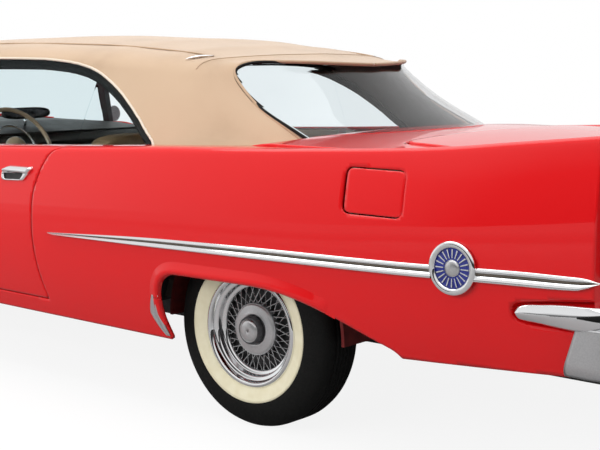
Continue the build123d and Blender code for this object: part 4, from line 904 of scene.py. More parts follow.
trimProfile = [(0.198, 0.082), (0.200, 0.092), (0.197, 0.098), (0.190, 0.0995), (0.184, 0.094),
               (0.182, 0.083), (0.177, 0.0775), (0.170, 0.079), (0.166, 0.074), (0.164, 0.060),
               (0.159, 0.0555), (0.153, 0.057), (0.149, 0.050), (0.147, 0.030)]
# a black disc behind the wires: painted shade in the wheel's middle
shadeDiscProfile = [(0.150, 0.030), (0.120, 0.026), (0.080, 0.030)]
barrelProfile = [(0.184, 0.085), (0.186, -0.085), (0.192, -0.092), (0.184, -0.094), (0.178, -0.086),
                 (0.176, 0.020), (0.060, 0.010), (0.040, 0.030)]
hubProfile = [(0.090, 0.030), (0.091, 0.063), (0.088, 0.069), (0.081, 0.0715), (0.070, 0.070),
              (0.060, 0.0735), (0.048, 0.075)]
collarProfile = [(0.049, 0.072), (0.049, 0.086), (0.047, 0.094), (0.043, 0.097), (0.040, 0.0975)]
capProfile = [(0.040, 0.094), (0.039, 0.0995), (0.030, 0.1035), (0.016, 0.1055), (0.0, 0.106)]
wire = {"count": 28, "hub": 0.084, "rim": 0.152, "thin": 0.0023, "lean": 0.30, "step": 0.012,
        "out": (0.058, 0.044)}


def spokes(centre, side):
    # each wire is a thin six-sided rod from the hub's edge to the trim, leaning to alternate sides
    hub, rim, thin, sides = wire["hub"], wire["rim"], wire["thin"], 6
    k = np.arange(wire["count"] * 2)
    a = 2 * np.pi * (k // 2) / wire["count"]
    lean = np.where(k % 2, wire["lean"], -wire["lean"])
    deep = np.where(k % 2, 0.0, wire["step"])
    start = np.stack([hub * np.cos(a), wire["out"][0] - deep, hub * np.sin(a)], -1)
    end = np.stack([rim * np.cos(a + lean), wire["out"][1] - 0.5 * deep, rim * np.sin(a + lean)], -1)
    along = unit(end - start)
    one = unit(np.cross(along, (0, 1, 0)))
    two = np.cross(along, one)
    t = 2 * np.pi * np.arange(sides) / sides
    around = thin * (np.cos(t)[None, :, None] * one[:, None] + np.sin(t)[None, :, None] * two[:, None])
    p = np.stack([start[:, None] + around, end[:, None] + around], 1).reshape(-1, 3)
    f = gridFaces(2, sides, closeCols=True)
    faces = (f[None] + (np.arange(len(k)) * 2 * sides)[:, None, None]).reshape(-1, 4)
    return p * (1, side, 1) + centre, faces


wheelParts = {  # profile, segments, finish, sheet; the wires have no profile
    "wheelTrim_": (trimProfile, 128, chrome, 0.002),
    "wheelBarrel_": (barrelProfile, 96, underSteel, 0),
    "wheelShadeDisc_": (shadeDiscProfile, 96, blackPaintAndPaintedShade, 0.002),
    "wheelWires_": (None, 0, wireChrome, 0),
    "wheelHub_": (hubProfile, 72, satinChrome, 0.002),
    "wheelCollar_": (collarProfile, 48, darkChrome, 0.002),
    "wheelCap_": (capProfile, 48, satinChrome, 0.002),
}
for place in ("front_left", "front_right", "rear_left", "rear_right"):
    low, high = (np.array(corner, float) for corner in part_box("tyre_" + place))
    centre = (low + high) / 2
    way = 1 if place.endswith("left") else -1
    body = "wheel_" + place
    turned = spun(tyreProfile, centre, way, 128, close=True)
    rubber = addPiece("tyreBody_" + place, *turned, blackRubberAndDarkReflection, body, "tyre", outward=True)
    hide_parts("tyre_" + place)
    turned = spun(bandProfile, centre, way, 128)
    addPiece("tyreBand_" + place, *turned, whiteRubber, body, "tyre", outward=True)
    for name, (profile, segments, finish, sheet) in wheelParts.items():
        turned = spun(profile, centre, way, segments) if profile else spokes(centre, way)
        piece = addPiece(name + place, *turned, finish, body, "wheel_chrome", sheet=sheet)
        if name == "wheelTrim_":
            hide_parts("wheel_" + place)
print("wheels done")

# bright trim along the sides

spear = {"x": [-1.363, -1.330, -1.296, -1.120, -0.987, -0.912, -0.730, -0.130, 0.293, 0.916],
         "z": [0.690, 0.687, 0.683, 0.6785, 0.674, 0.671, 0.664, 0.649, 0.638, 0.617],
         "height": [0.006, 0.024, 0.036, 0.041, 0.040, 0.040, 0.039, 0.037, 0.032, 0.006], "stand": 0.017}
spearSection = np.array([(0.0, -0.5), (0.85, -0.5), (1.0, -0.44), (0.92, -0.34), (0.68, -0.10),
                         (0.34, -0.06), (0.34, 0.14), (0.58, 0.18), (0.52, 0.28), (0.32, 0.45),
                         (0.12, 0.5), (0.0, 0.5)])


def spearGrid(x0, x1, blunt, section, count=150):
    # a strip standing on the wall: section (out, up) scaled by the local height, closing at its free end
    x = np.linspace(x0, x1, count)
    knots = rearAxleX + np.array(spear["x"])
    z, height = pchip(knots, spear["z"], x), pchip(knots, spear["height"], x)
    end = np.clip((x1 - x) / 0.060 if blunt == "low" else (x - x0) / 0.030, 0, 1) ** 0.5
    zz = z[:, None] + height[:, None] * section[:, 1] * (0.35 + 0.65 * end)[:, None]
    p = wallPoint(np.repeat(x[:, None], len(section), 1), zz)
    p[..., 1] += spear["stand"] * end[:, None] * section[:, 0] - 0.002 * (section[:, 0] == 0)
    return p, gridFaces(count, len(section))


medal = {"x": rearAxleX - 0.912, "z": 0.685, "outer": 0.080, "ring": 0.0105}
spearSpans = ((rearAxleX - 1.363, medal["x"] - 0.070, "high"),
              (medal["x"] + 0.070, rearAxleX + 0.916, "low"))
# thin dark strip along the spear's middle: painted reflection of a dark band in the chrome
darkReflectionSection = np.array([(0.46, -0.075), (0.50, 0.04), (0.46, 0.155)])
for name, section, finish in (("spearStrips", spearSection, chrome),
                              ("spearDarkReflections", darkReflectionSection, darkReflectionGrey)):
    strips = mirrored(*mergeGrids([spearGrid(*span, section) for span in spearSpans]))
    strips = addPiece(name, *strips, finish, "body", "chrome", outward=True)
    if finish is chrome:
        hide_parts("side_spears")
    else:
        thicken(strips, 0.002)

medalY = float(wallPoint(np.array([medal["x"]]), np.array([medal["z"]]))[0, 1])
medalCentre = np.array([medal["x"], medalY, medal["z"]])
bead = ring(18, medal["ring"], medal["ring"])
ringProfile = np.stack([medal["outer"] - medal["ring"] + bead[:, 0], 0.008 + bead[:, 1] * 0.80], -1)
dishProfile = [(0.072, 0.003), (0.064, 0.0045), (0.040, 0.0055), (0.0, 0.006)]
jewelProfile = [(0.026, 0.004), (0.025, 0.010), (0.018, 0.0135), (0.008, 0.0150), (0.0, 0.0155)]


def medalRibs(count=20):
    # raised radial ribs: small wedges between two circles
    a = 2 * np.pi * np.arange(count) / count
    wide = np.array([-0.045, 0.045, 0.035, -0.035])
    radius = np.array([0.030, 0.030, 0.056, 0.056])
    t = a[:, None] + wide
    base = np.stack([radius * np.cos(t), np.full(t.shape, 0.0045), radius * np.sin(t)], -1)
    top = base + (0, 0.0045, 0)
    p = np.concatenate([base, top], 1)
    f = np.array([(4, 5, 6, 7), (0, 4, 7, 3), (1, 2, 6, 5), (0, 1, 5, 4), (2, 3, 7, 6)])
    return p.reshape(-1, 3), (f[None] + 8 * np.arange(count)[:, None, None]).reshape(-1, 4)


for side, way in bothSides:
    middle = medalCentre * (1, way, 1)
    addPiece("medalRing_" + side, *spun(ringProfile, middle, way, 72, close=True), chrome, "body",
             "chrome", outward=True)
    addPiece("medalDish_" + side, *spun(dishProfile, middle, way, 72), blueEnamel, "body", "chrome")
    addPiece("medalJewel_" + side, *spun(jewelProfile, middle, way, 48), satinChrome, "body", "chrome")
    p, f = medalRibs()
    addPiece("medalRibs_" + side, p * (1, way, 1) + middle, f if way < 0 else f[:, ::-1], chrome, "body",
             "chrome", smooth=False, outward=True)

# rolled lip round the rear wheel opening: a half round that swells over the tyre and fades at both ends
lipLine = archOutline[14:-14]
keepLip = (lipLine[:, 1] > 0.30) & (lipLine[:, 0] > arch["footX"] + 0.06)
lipLine = lipLine[keepLip]
lipAt = lengthAlong(lipLine)
fine = np.linspace(0, lipAt[-1], 160)
lipLine = readAt(lipLine, fine)
outwards = np.gradient(lipLine, axis=0)
outwards = unit(np.stack([-outwards[:, 1], outwards[:, 0]], -1))
if ((lipLine + outwards * 0.05)[:, 1] - lipLine[:, 1]).mean() < 0:
    outwards = -outwards
swell = np.clip(np.sin(np.pi * np.clip(fine / lipAt[-1] * 1.02 + 0.02, 0, 1)), 0, 1) ** 0.35
lipAcross = np.array([-0.004, -0.003, 0.004, 0.012, 0.022, 0.033, 0.046])
lipRise = np.array([-0.012, 0.006, 0.013, 0.014, 0.010, 0.004, -0.001])
flat = lipLine[:, None] + outwards[:, None] * lipAcross[None, :, None]
lipGrid = wallPoint(flat[..., 0], np.minimum(flat[..., 1], 0.90))
lipGrid[..., 1] += lipRise * swell[:, None]
lipFaces = gridFaces(*lipGrid.shape[:2])
addPiece("archLips", *mirrored(lipGrid, lipFaces), redPaint, "body", "body_paint", outward=True)

# ribbed stone guard on the opening's front edge
guard = {"z": (0.297, 0.445), "wide": 0.046, "stand": 0.004, "rib": 0.0045}
guardZ = np.linspace(*guard["z"], 40)
guardFront = [arch["frontX"] - 0.030, arch["frontX"] + 0.004, arch["frontX"] - 0.006]
guardX = np.interp(guardZ, [0.297, 0.376, 0.445], guardFront)
guardAcross = np.linspace(0, 1, 21)
ribs = guard["rib"] * np.abs(np.sin(2 * np.pi * guardAcross)) ** 0.7
wide = guard["wide"] * np.sin(np.pi * np.clip((guardZ - 0.285) / 0.20, 0.05, 0.95)) ** 0.5
gx = guardX[:, None] + 0.002 + wide[:, None] * guardAcross
gp = wallPoint(gx, np.repeat(guardZ[:, None], 21, 1))
gp[..., 1] += guard["stand"] + ribs
guardFaces = gridFaces(40, 21)
addPiece("stoneGuards", *mirrored(gp, guardFaces), satinChrome, "body", "chrome", outward=True, sheet=0.003)

# door handles: a domed plate with slanted ends, cut through over a flat black sheet of painted shade
handleOutline = roundedOutline([(-0.147, 0.812), (-0.150, 0.846), (-0.190, 0.859), (-0.326, 0.861),
                                (-0.333, 0.850), (-0.287, 0.802), (-0.158, 0.797)],
                               [0.012, 0.012, 0.012, 0.005, 0.004, 0.012, 0.012], 8)
handle = {"dome": 0.011, "rim": 0.009, "lip": 0.005, "grip": 0.008}
slotOutline = roundedOutline([(-0.162, 0.826), (-0.284, 0.831), (-0.268, 0.809), (-0.172, 0.805)], 0.006, 6)
hx, hz = gridOf(np.linspace(-0.350, -0.140, 85), np.linspace(0.790, 0.868, 40))
for side, way in bothSides:
    u, v, f = trimmed(hx, hz, handleOutline, [slotOutline], 0.0024)
    rim = np.clip(outlineDistance(np.stack([u, v], -1), handleOutline)[0] / handle["rim"], 0, 1)
    lip = np.clip(-outlineDistance(np.stack([u, v], -1), slotOutline)[0] / handle["lip"], 0, 1)
    grip = np.clip((v - 0.832) / 0.010, 0, 1) * np.clip((0.862 - v) / 0.012, 0, 1)
    hp = wallPoint(u, v)
    dome = handle["dome"] * np.sqrt(1 - (1 - rim) ** 2) * (0.6 + 0.4 * lip)
    hp[:, 1] += dome + handle["grip"] * np.sin(0.5 * np.pi * grip) * rim
    addPiece("handlePlate_" + side, *onSide(hp, f, way), chrome, "door_" + side, "chrome", sheet=0.003)
    # a flat black sheet just off the wall behind the slot: painted shade
    u, v, f = trimmed(hx, hz, slotOutline.mean(0) + (slotOutline - slotOutline.mean(0)) * 1.14, [], 0.0024)
    sp = wallPoint(u, v)
    sp[:, 1] += 0.0008
    addPiece("handleSlotShade_" + side, *onSide(sp, f, way), blackPaintAndPaintedShade, "door_" + side, "chrome", sheet=0.0006)
print("side trim done")

# tail: bumper blade, apron and fin ends


def plan(points, radii, steps=14, crowd=1.0):
    # open plan path with rounded corners, mirrored to the other side at the car's middle
    p = np.asarray(points, float)
    line = [p[:1]]
    for i in range(1, len(p) - 1):
        before, after = p[i - 1] - p[i], p[i + 1] - p[i]
        a = p[i] + before / np.linalg.norm(before) * radii[i - 1]
        b = p[i] + after / np.linalg.norm(after) * radii[i - 1]
        t = np.linspace(0, 1, steps)[:, None]
        line.append((1 - t) ** 2 * a + 2 * t * (1 - t) * p[i] + t * t * b)
    line.append(p[-1:])
    line = np.concatenate(line)
    at = lengthAlong(line)
    half = readAt(line, np.linspace(0, 1, 110) ** crowd * at[-1])
    return np.concatenate([half, (half * (1, -1))[-2::-1]])


# blade: an upper and a lower face that meet on a ridge, which opens behind to a black band of painted dark
# reflection
bladePlan = plan([(rearAxleX - 1.112, 0.984), (rearAxleX - 1.424, 0.989), (rearAxleX - 1.424, 0)], [0.12],
                 crowd=1.9)
bladeTable = {"x": [0.0, 0.003, 0.012, 0.031, 0.080, 0.111, 0.186, 0.261],
              "top": [0.584, 0.592, 0.600, 0.607, 0.613, 0.617, 0.622, 0.624],
              "ridge": [0.580, 0.580, 0.581, 0.582, 0.584, 0.586, 0.593, 0.605],
              "low": [0.576, 0.569, 0.562, 0.559, 0.557, 0.555, 0.552, 0.553],
              "band": [0.0, 0.0, 0.0, 0.0, 0.0, 0.0, 0.003, 0.020]}
run = lengthAlong(bladePlan)
run = np.minimum(run, run[::-1])
top, ridge, low, band = (pchip(bladeTable["x"], bladeTable[k], run)[:, None]
                         for k in ("top", "ridge", "low", "band"))
along = unit(np.gradient(bladePlan, axis=0))
inward = np.column_stack([-along[:, 1], along[:, 0]])
inward *= np.sign((inward * (np.array([rearAxleX - 1.0, 0.0]) - bladePlan)).sum(1))[:, None]
k = np.linspace(0, 1, 8)
bladeZ = np.concatenate([top - 0.004, top + (ridge - top) * k, (ridge - band) + (low - ridge + band) * k,
                         low + 0.004], 1)
bladeIn = np.concatenate([[0.034], 0.015 * (1 - k) ** 1.4, 0.014 * k**1.4, [0.034]])
swell = 0.25 + 0.75 * np.clip(run / 0.030, 0, 1)[:, None] ** 0.5
tuck = (bladeIn * swell + 0.006 * (1 - swell))[..., None]
bladeGrid = np.concatenate([bladePlan[:, None] + inward[:, None] * tuck, bladeZ[..., None]], -1)
blade = addPiece("rearBlade", bladeGrid, gridFaces(*bladeZ.shape, closeCols=True), chrome, "body",
                 "chrome", outward=True)
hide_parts("rear_bumper")
# the black strip filling the opening behind the ridge is painted dark reflection
behind = run > 0.187
bandZ = (ridge - band * np.linspace(0.06, 0.94, 4))[behind]
bandGrid = np.concatenate([np.repeat((bladePlan - inward * 0.0012)[behind][:, None], 4, 1),
                           bandZ[..., None]], -1)
addPiece("bladeDarkReflection", bandGrid, gridFaces(*bandZ.shape), blackRubberAndDarkReflection, "body", "chrome", outward=True,
         sheet=0.002)
apronPlan = plan([(rearAxleX - 1.295, 0.962), (rearAxleX - 1.38, 0.966), (rearAxleX - 1.412, 0.945),
                  (rearAxleX - 1.414, 0)], [0.03, 0.03])
apronShape = {"z": (0.424, 0.562), "slant": 0.034, "tuck": 0.022}
apronZ = np.linspace(*apronShape["z"], 20)
nearEnd = np.minimum(np.arange(len(apronPlan)), np.arange(len(apronPlan))[::-1]) / 14.0
slant = np.clip(1 - nearEnd, 0, 1)[:, None] * apronShape["slant"] * np.clip((0.549 - apronZ) / 0.115, 0, 1)
tuck = apronShape["tuck"] * np.clip((0.460 - apronZ) / 0.036, 0, 1) ** 2
ax = apronPlan[:, :1] + slant + tuck * np.clip(nearEnd, 0, 1)[:, None]
ay = apronPlan[:, 1:] - np.sign(apronPlan[:, 1:]) * tuck * 0.7
ap = np.stack([ax, ay, np.broadcast_to(apronZ, ax.shape)], -1)
apron = addPiece("rearApron", ap, gridFaces(*ax.shape), satinChrome, "body", "chrome", outward=True,
                 sheet=0.010)
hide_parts("rear_bumper")

startZ = float(wallAt(np.array([tailX]))["creaseZ"][0]) - wall["roundStart"]
finW = np.concatenate([np.linspace(0.549, startZ, 40), startZ + topRun * 3 * np.linspace(0, 1, 26)[1:]])
finOut = wallPoint(np.full(len(finW), tailX), finW)
finIn = finOut.copy()
finIn[:, 1] = wall["innerY"]
k = np.linspace(0, 1, 8)[None, :, None]
finCap = finOut[:, None] * (1 - k) + finIn[:, None] * k
finCap[..., 0] -= 0.010 * np.sin(np.pi * np.linspace(0, 1, 8))[None]
capFaces = gridFaces(len(finW), 8)
addPiece("finCaps", *mirrored(finCap, capFaces), redPaint, "body", "body_paint", outward=True)
print("tail done")

# deck, boot lid and hood: crowned sheets between the two sides

deckTable = {"x": [-1.330, -1.100, -0.800, -0.440, -0.090, 0.120],
             "edge": [0.900, 0.940, 0.970, 0.984, 0.984, 0.948],
             "crown": [0.918, 0.962, 0.994, 1.010, 1.004, 0.956]}
deckHalf = 0.840


def crowned(table, fromX, half, x, y):
    # height of the edge line plus a parabola across to the crown
    edge, crown = (pchip(fromX + np.array(table["x"]), table[k], x) for k in ("edge", "crown"))
    return edge + (crown - edge) * (1 - (y / half) ** 2)


def deckPoint(x, y):
    return np.stack([x, y, crowned(deckTable, rearAxleX, deckHalf, x, y)], -1)


lid = {"x": (rearAxleX - 1.250, rearAxleX - 0.480), "half": 0.640, "corner": 0.070}


def lidOutline(grow):
    (x0, x1), h = lid["x"], lid["half"] + grow
    return roundedOutline([(x0 - grow, -h), (x1 + 2 * grow, -h), (x1 + 2 * grow, h), (x0 - grow, h)],
                          lid["corner"] + grow, 12)


deckOutline = np.array([(rearAxleX - 1.330, -deckHalf), (rearAxleX + 0.120, -deckHalf),
                        (rearAxleX + 0.120, deckHalf), (rearAxleX - 1.330, deckHalf)])
dx, dy = gridOf(np.linspace(rearAxleX - 1.34, rearAxleX + 0.13, 148), np.linspace(-0.85, 0.85, 171))
u, v, f = trimmed(dx, dy, deckOutline, [lidOutline(panelGap)])
deckSkin = addPiece("deckSkin", deckPoint(u, v), f, redPaint, "body", "body_paint", sheet=0.012)
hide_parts("deck_panel")
u, v, f = trimmed(dx, dy, lidOutline(0))
lidSkin = addPiece("lidSkin", deckPoint(u, v), f, redPaint, "trunk_lid", "body_paint", sheet=0.018)
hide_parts("trunk_lid")


def hingeArms(name, body, pivot, reach, facing, y, rise, width=0.018, plate=0.012):
    # flat arm: down from the pin, then a quarter ring out to the panel's underside
    a = np.linspace(-np.pi / 2, math.asin(min(1, rise / reach)), 40)
    mid = reach + width / 2
    ringPath = np.stack([pivot[0] + facing * mid * np.cos(a), np.full(40, y + plate / 2),
                         pivot[1] + mid * np.sin(a)], -1)
    leg = np.array([(pivot[0], y + plate / 2, pivot[1] + 0.004),
                    (pivot[0], y + plate / 2, pivot[1] - mid + 0.02)])
    section = np.array([(-plate / 2, -width / 2), (plate / 2, -width / 2), (plate / 2, width / 2),
                        (-plate / 2, width / 2)])
    parts = [carried(ringPath, section[:, ::-1], up=(0, 1, 0)),
             carried(leg, section[:, ::-1], up=(0, 1, 0))]
    addPiece(name, *mirrored(*mergeGrids(parts)), blackPaintAndPaintedShade, body, "steel", smooth=False, outward=True)


hingeArms("lidArms", "trunk_lid", (rearAxleX - 0.268, 0.950), reach=0.220, facing=-1, y=0.562, rise=0.026)
hingeArms("hoodArms", "hood", (frontAxleX - 0.434, 0.872), reach=0.162, facing=1, y=0.600, rise=0.024)
tailRows = np.linspace(0.440, 0.900, 40)
ty, tz = gridOf(np.linspace(-deckHalf, deckHalf, 90), tailRows)
topAt = deckPoint(np.full(ty.shape, rearAxleX - 1.330), ty)[..., 2]
tz = 0.440 + (topAt - 0.440) * (tz - 0.440) / 0.460
tailFace = np.stack([rearAxleX - 1.330 - 0.014 * np.clip((topAt - tz) / 0.030, 0, 1) ** 0.5, ty, tz], -1)
addPiece("tailPanel", tailFace, gridFaces(*ty.shape), redPaint, "body", "body_paint", outward=True,
         sheet=0.010)

hoodTable = {"x": [-0.298, -0.284, 0.060, 0.450, 0.830], "edge": [0.908, 0.908, 0.893, 0.874, 0.842],
             "crown": [0.939, 0.938, 0.926, 0.906, 0.868]}
hoodHalf = 0.706


def hoodPoint(x, y):
    # the crowned sheet with two soft ridges beside the middle
    ridge = 0.010 * np.exp(-((np.abs(y) - 0.30) / 0.045) ** 2)
    return np.stack([x, y, crowned(hoodTable, frontAxleX, hoodHalf, x, y) + ridge], -1)


hx0, hx1 = frontAxleX - 0.284, frontAxleX + 0.830
hoodOutline = roundedOutline([(hx0, -0.700), (hx1, -0.700), (hx1, 0.700), (hx0, 0.700)], 0.03, 6)
hxg, hyg = gridOf(np.linspace(hx0 - 0.01, hx1 + 0.01, 114), np.linspace(-0.71, 0.71, 143))
u, v, f = trimmed(hxg, hyg, hoodOutline)
hoodSkin = addPiece("hoodSkin", hoodPoint(u, v), f, redPaint, "hood", "body_paint", sheet=0.018)
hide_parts("hood")
# headlamp lenses: shallow domes with fine upright flutes, each in a bright bezel
lamp = {"y": (0.690, 0.850), "x": 2.742, "z": 0.700, "radius": 0.068}
lensR = np.linspace(lamp["radius"], 0.0005, 40)
lensProfile = np.stack([lensR, 0.002 + 0.007 * (1 - (lensR / lamp["radius"]) ** 2)], -1)
bezelA = np.linspace(0, 2 * np.pi, 14, endpoint=False)
bezelProfile = np.stack([lamp["radius"] + 0.004 + 0.0055 * np.cos(bezelA),
                         0.0012 + 0.0055 * np.sin(bezelA)], -1)
for side, way in bothSides:
    lenses, bezels = [], []
    for y in lamp["y"]:
        p, f = facingAhead(lensProfile, (lamp["x"], way * y, lamp["z"]))
        p[..., 0] += 0.0005 * np.sin(2 * np.pi * p[..., 1] / 0.009)
        lenses.append((p, f))
        bezels.append(facingAhead(bezelProfile, (lamp["x"], way * y, lamp["z"]), close=True))
    addPiece("lampLens_" + side, *mergeGrids(lenses), lampGlass, "body", "headlamp")
    addPiece("lampBezel_" + side, *mergeGrids(bezels), chrome, "body", "chrome", outward=True)
print("deck and hood done")

# inside: seats, trim, dashboard and steering wheel


def pillow(name, low, high, power, crown, channels, along):
    # a rounded box as a closed grid: latitude rows, longitude columns, each pushed out to a soft square;
    # the upholstered face is crowned and carries sewn channels running across the other way
    rows, cols = 56, 120
    a = np.linspace(-np.pi / 2, np.pi / 2, rows)[:, None]
    b = np.linspace(-np.pi, np.pi, cols, endpoint=False)[None]

    def soft(value, k):
        return np.sign(value) * np.abs(value) ** k

    shape = np.stack([soft(np.cos(a), power) * soft(np.cos(b), power),
                      soft(np.cos(a), power) * soft(np.sin(b), power),
                      soft(np.sin(a), power) * np.ones_like(b)], -1)
    mid, half = (np.array(low) + high) / 2, (np.array(high) - low) / 2
    p = mid + shape * half
    face = np.clip(shape[..., 2 if along == "z" else 0] * 1.2 - 0.1, 0, 1)
    ribs = np.abs(np.sin(np.pi * channels * (p[..., 1] - low[1]) / (high[1] - low[1]))) ** 0.5
    edgeWays = np.abs(shape[..., 0 if along == "z" else 2])
    inside = np.clip((1 - np.abs(shape[..., 1])) * 6, 0, 1) * np.clip((1 - edgeWays) * 5, 0, 1)
    lift = face * inside * (crown * (1 - shape[..., 1] ** 4) - 0.012 * (1 - ribs))
    p[..., 2 if along == "z" else 0] += lift
    piece = addPiece(name, p, gridFaces(rows, cols, closeCols=True), tanLeather, "body", "seat_leather",
                     outward=True)
    return piece


seat = {"frontX": (-0.250, 0.310), "frontHalf": 0.640, "frontZ": (0.360, 0.600), "backX": (-0.385, -0.250),
        "backTop": 0.962, "rearX": (-0.938, -0.566), "rearHalf": 0.590, "rearZ": (0.480, 0.640),
        "rearBackX": (-1.084, -0.944), "rearTop": 0.930}
for k, (y0, y1) in enumerate(((0.006, seat["frontHalf"]), (-seat["frontHalf"], -0.006))):
    pillow("frontCushion%d" % k, (seat["frontX"][0] + 0.01, y0, seat["frontZ"][0]),
                            (seat["frontX"][1], y1, seat["frontZ"][1]), power=0.32, crown=0.014,
                            channels=7, along="z")
    pillow("frontBack%d" % k, (seat["backX"][0], y0, 0.45),
                            (seat["backX"][1] + 0.01, y1, seat["backTop"]), power=0.32, crown=0.012,
                            channels=7, along="x")
rearPads = [
    pillow("rearCushion", (seat["rearX"][0], -seat["rearHalf"], seat["rearZ"][0]),
           (seat["rearX"][1], seat["rearHalf"], seat["rearZ"][1]), power=0.3, crown=0.012, channels=14,
           along="z"),
    pillow("rearBack", (seat["rearBackX"][0], -seat["rearHalf"], 0.56),
           (seat["rearBackX"][1], seat["rearHalf"], seat["rearTop"]), power=0.3, crown=0.010, channels=14,
           along="x")]
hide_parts("front_seat")
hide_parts("rear_seat")
plinth = {"front": ((-0.24, -0.60, 0.338), (0.28, 0.60, 0.40)),
          "rear": ((-0.93, -0.58, 0.338), (-0.60, 0.58, 0.50))}
boxFaces = [[0, 2, 3, 1], [4, 5, 7, 6], [0, 1, 5, 4], [2, 6, 7, 3], [0, 4, 6, 2], [1, 3, 7, 5]]
for name, (low, high) in plinth.items():
    corner = np.array([[low[i] if not (k >> i) & 1 else high[i] for i in range(3)] for k in range(8)])
    addPiece("seatBase_" + name, corner, boxFaces, darkTrim, "body", "seat_leather", smooth=False,
             outward=True)

# steering wheel: a thin ivory rim with finger ripples, a chrome horn ring, two spokes and a raked hub
helm = {"centre": (0.520, 0.380, 0.862), "radius": 0.203, "rake": math.radians(27)}
aim = np.array([math.cos(helm["rake"]), 0, -math.sin(helm["rake"])])
upward = np.array([math.sin(helm["rake"]), 0, math.cos(helm["rake"])])
leftward = np.array([0.0, 1.0, 0.0])
turn = np.linspace(0, 2 * np.pi, 120, endpoint=False)
helmCentre = np.array(helm["centre"])
helmRound = np.cos(turn)[:, None] * leftward + np.sin(turn)[:, None] * upward


def helmRing(radius, bead, back, ripple=0.0):
    # a bead carried round the raked wheel, its size rippled for the fingers
    path = helmCentre + back * aim + radius * helmRound
    size = 1 + ripple * np.cos(40 * turn)
    return carried(path, ring(12, bead), closed=True, up=aim, scale=np.column_stack([size, size]))


helmSlots = ("steering_wheel", "steering_wheel")  # body and slot
rim = addPiece("helmRim", *helmRing(helm["radius"] - 0.012, 0.0105, 0.0, 0.05), ivory, *helmSlots,
               outward=True)
addPiece("helmHorn", *helmRing(0.112, 0.005, 0.012), chrome, *helmSlots, outward=True)
hr = np.array([(0.0, -0.030), (0.030, -0.026), (0.050, -0.008), (0.054, 0.012), (0.040, 0.050),
               (0.026, 0.060)])
hubPoints = helmCentre + hr[None, :, 1:] * aim + hr[None, :, :1] * helmRound[:, None]
addPiece("helmHub", hubPoints, gridFaces(120, len(hr), closeRows=True), ivory, *helmSlots, outward=True)
bars = []
for a in (math.radians(195), math.radians(345)):
    out = math.cos(a) * leftward + math.sin(a) * upward
    spoke = helmCentre + np.linspace(0.03, 0.188, 12)[:, None] * out + 0.004 * aim
    bars.append(carried(spoke, ring(10, 0.011, 0.006), up=aim))
addPiece("helmBars", *mergeGrids(bars), ivory, *helmSlots, outward=True)
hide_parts("steering_wheel")

# dashboard: one padded section carried across the car, dials ahead of the driver and a bright strip
dash = {"x": 0.760, "half": 0.706, "z": 0.700}
dashSection = np.array([(0.300, -0.02), (0.300, 0.195), (0.220, 0.203), (0.100, 0.203), (0.045, 0.198),
                        (0.014, 0.184), (0.002, 0.160), (0.010, 0.140), (0.030, 0.130), (0.040, 0.100),
                        (0.034, 0.040), (0.030, 0.0), (0.080, -0.01)])
dashY = np.linspace(-dash["half"], dash["half"], 80)
dp = np.stack(np.broadcast_arrays(dash["x"] + dashSection[None, :, 0], dashY[:, None],
                                  dash["z"] + dashSection[None, :, 1]), -1)
f = gridFaces(80, len(dashSection), closeCols=True).tolist()
m = len(dashSection)
f += [list(range(m)), list(range(79 * m, 80 * m))[::-1]]
dashRoll = addPiece("dashRoll", dp, f, darkTrim, "body", "dash", outward=True)
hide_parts("dashboard")
dials = []
for y, r in ((0.46, 0.062), (0.30, 0.062), (0.38, 0.024)):
    bowl = [(0.0, 0.004), (r * 0.8, 0.002), (r * 0.9, -0.012), (r, -0.010), (r, 0.020)]
    dials.append(facingAhead(bowl, (dash["x"] + 0.030, y, dash["z"] + 0.075), 40))
addPiece("dashDials", *mergeGrids(dials), satinChrome, "body", "dash", outward=True)
stripPath = np.stack([np.full(60, dash["x"] + 0.033), np.linspace(-0.69, 0.69, 60),
                      np.full(60, dash["z"] + 0.125)], -1)
addPiece("dashStrip", *carried(stripPath, ring(8, 0.006, 0.004)), chrome, "body", "dash", outward=True)

# dash top: from the roll forward to the foot of the screen, just above the cowl
k, t = gridOf(np.linspace(-1, 1, 60), np.linspace(0, 1, 24))
foot = screenCurve(screenFoot, 0.92 * k)[..., 0] - 0.022
topX = 0.800 + (foot - 0.800) * t
cowlZ = 0.919 + 0.032 * (1 - k**2)
topZ = 0.902 + (cowlZ - 0.902) * np.clip((topX - 0.82) / 0.22, 0, 1)
addPiece("dashTop", np.stack([topX, 0.700 * k, topZ], -1), gridFaces(60, 24), darkTrim, "body", "dash",
         outward=True, sheet=0.003)
# mirrors: a wide one on the dash and a round one on each fender, dished housings with a plain face
rearView = {"centre": (0.935, 0.0, 0.992), "half": (0.150, 0.029)}
a = np.linspace(0, 2 * np.pi, 64, endpoint=False)
rimY = np.sign(np.cos(a)) * np.abs(np.cos(a)) ** 0.55 * rearView["half"][0]
rimZ = np.sign(np.sin(a)) * np.abs(np.sin(a)) ** 0.8 * rearView["half"][1]
backs = np.array([(0.94, -0.001), (1.0, -0.003), (1.0, 0.006), (0.86, 0.022), (0.5, 0.032), (0.0, 0.034)])
share = backs[None, :, 0]
shell = np.stack(np.broadcast_arrays(rearView["centre"][0] + backs[None, :, 1], rimY[:, None] * share,
                                     rearView["centre"][2] + rimZ[:, None] * share), -1)
addPiece("dashMirror", shell, gridFaces(64, 6, closeRows=True), darkTrim, "body", "dash", outward=True)
face = np.array([0.95, 0.6, 0.0])
glassFace = np.stack([np.full((64, 3), rearView["centre"][0]), rimY[:, None] * face,
                      rearView["centre"][2] + rimZ[:, None] * face], -1)
addPiece("dashMirrorFace", glassFace, gridFaces(64, 3, closeRows=True), darkChrome, "body", "dash",
         sheet=0.002)
stalkPath = np.array([(0.945, 0, 0.930), (0.948, 0, 0.955), (0.950, 0, 0.985)])
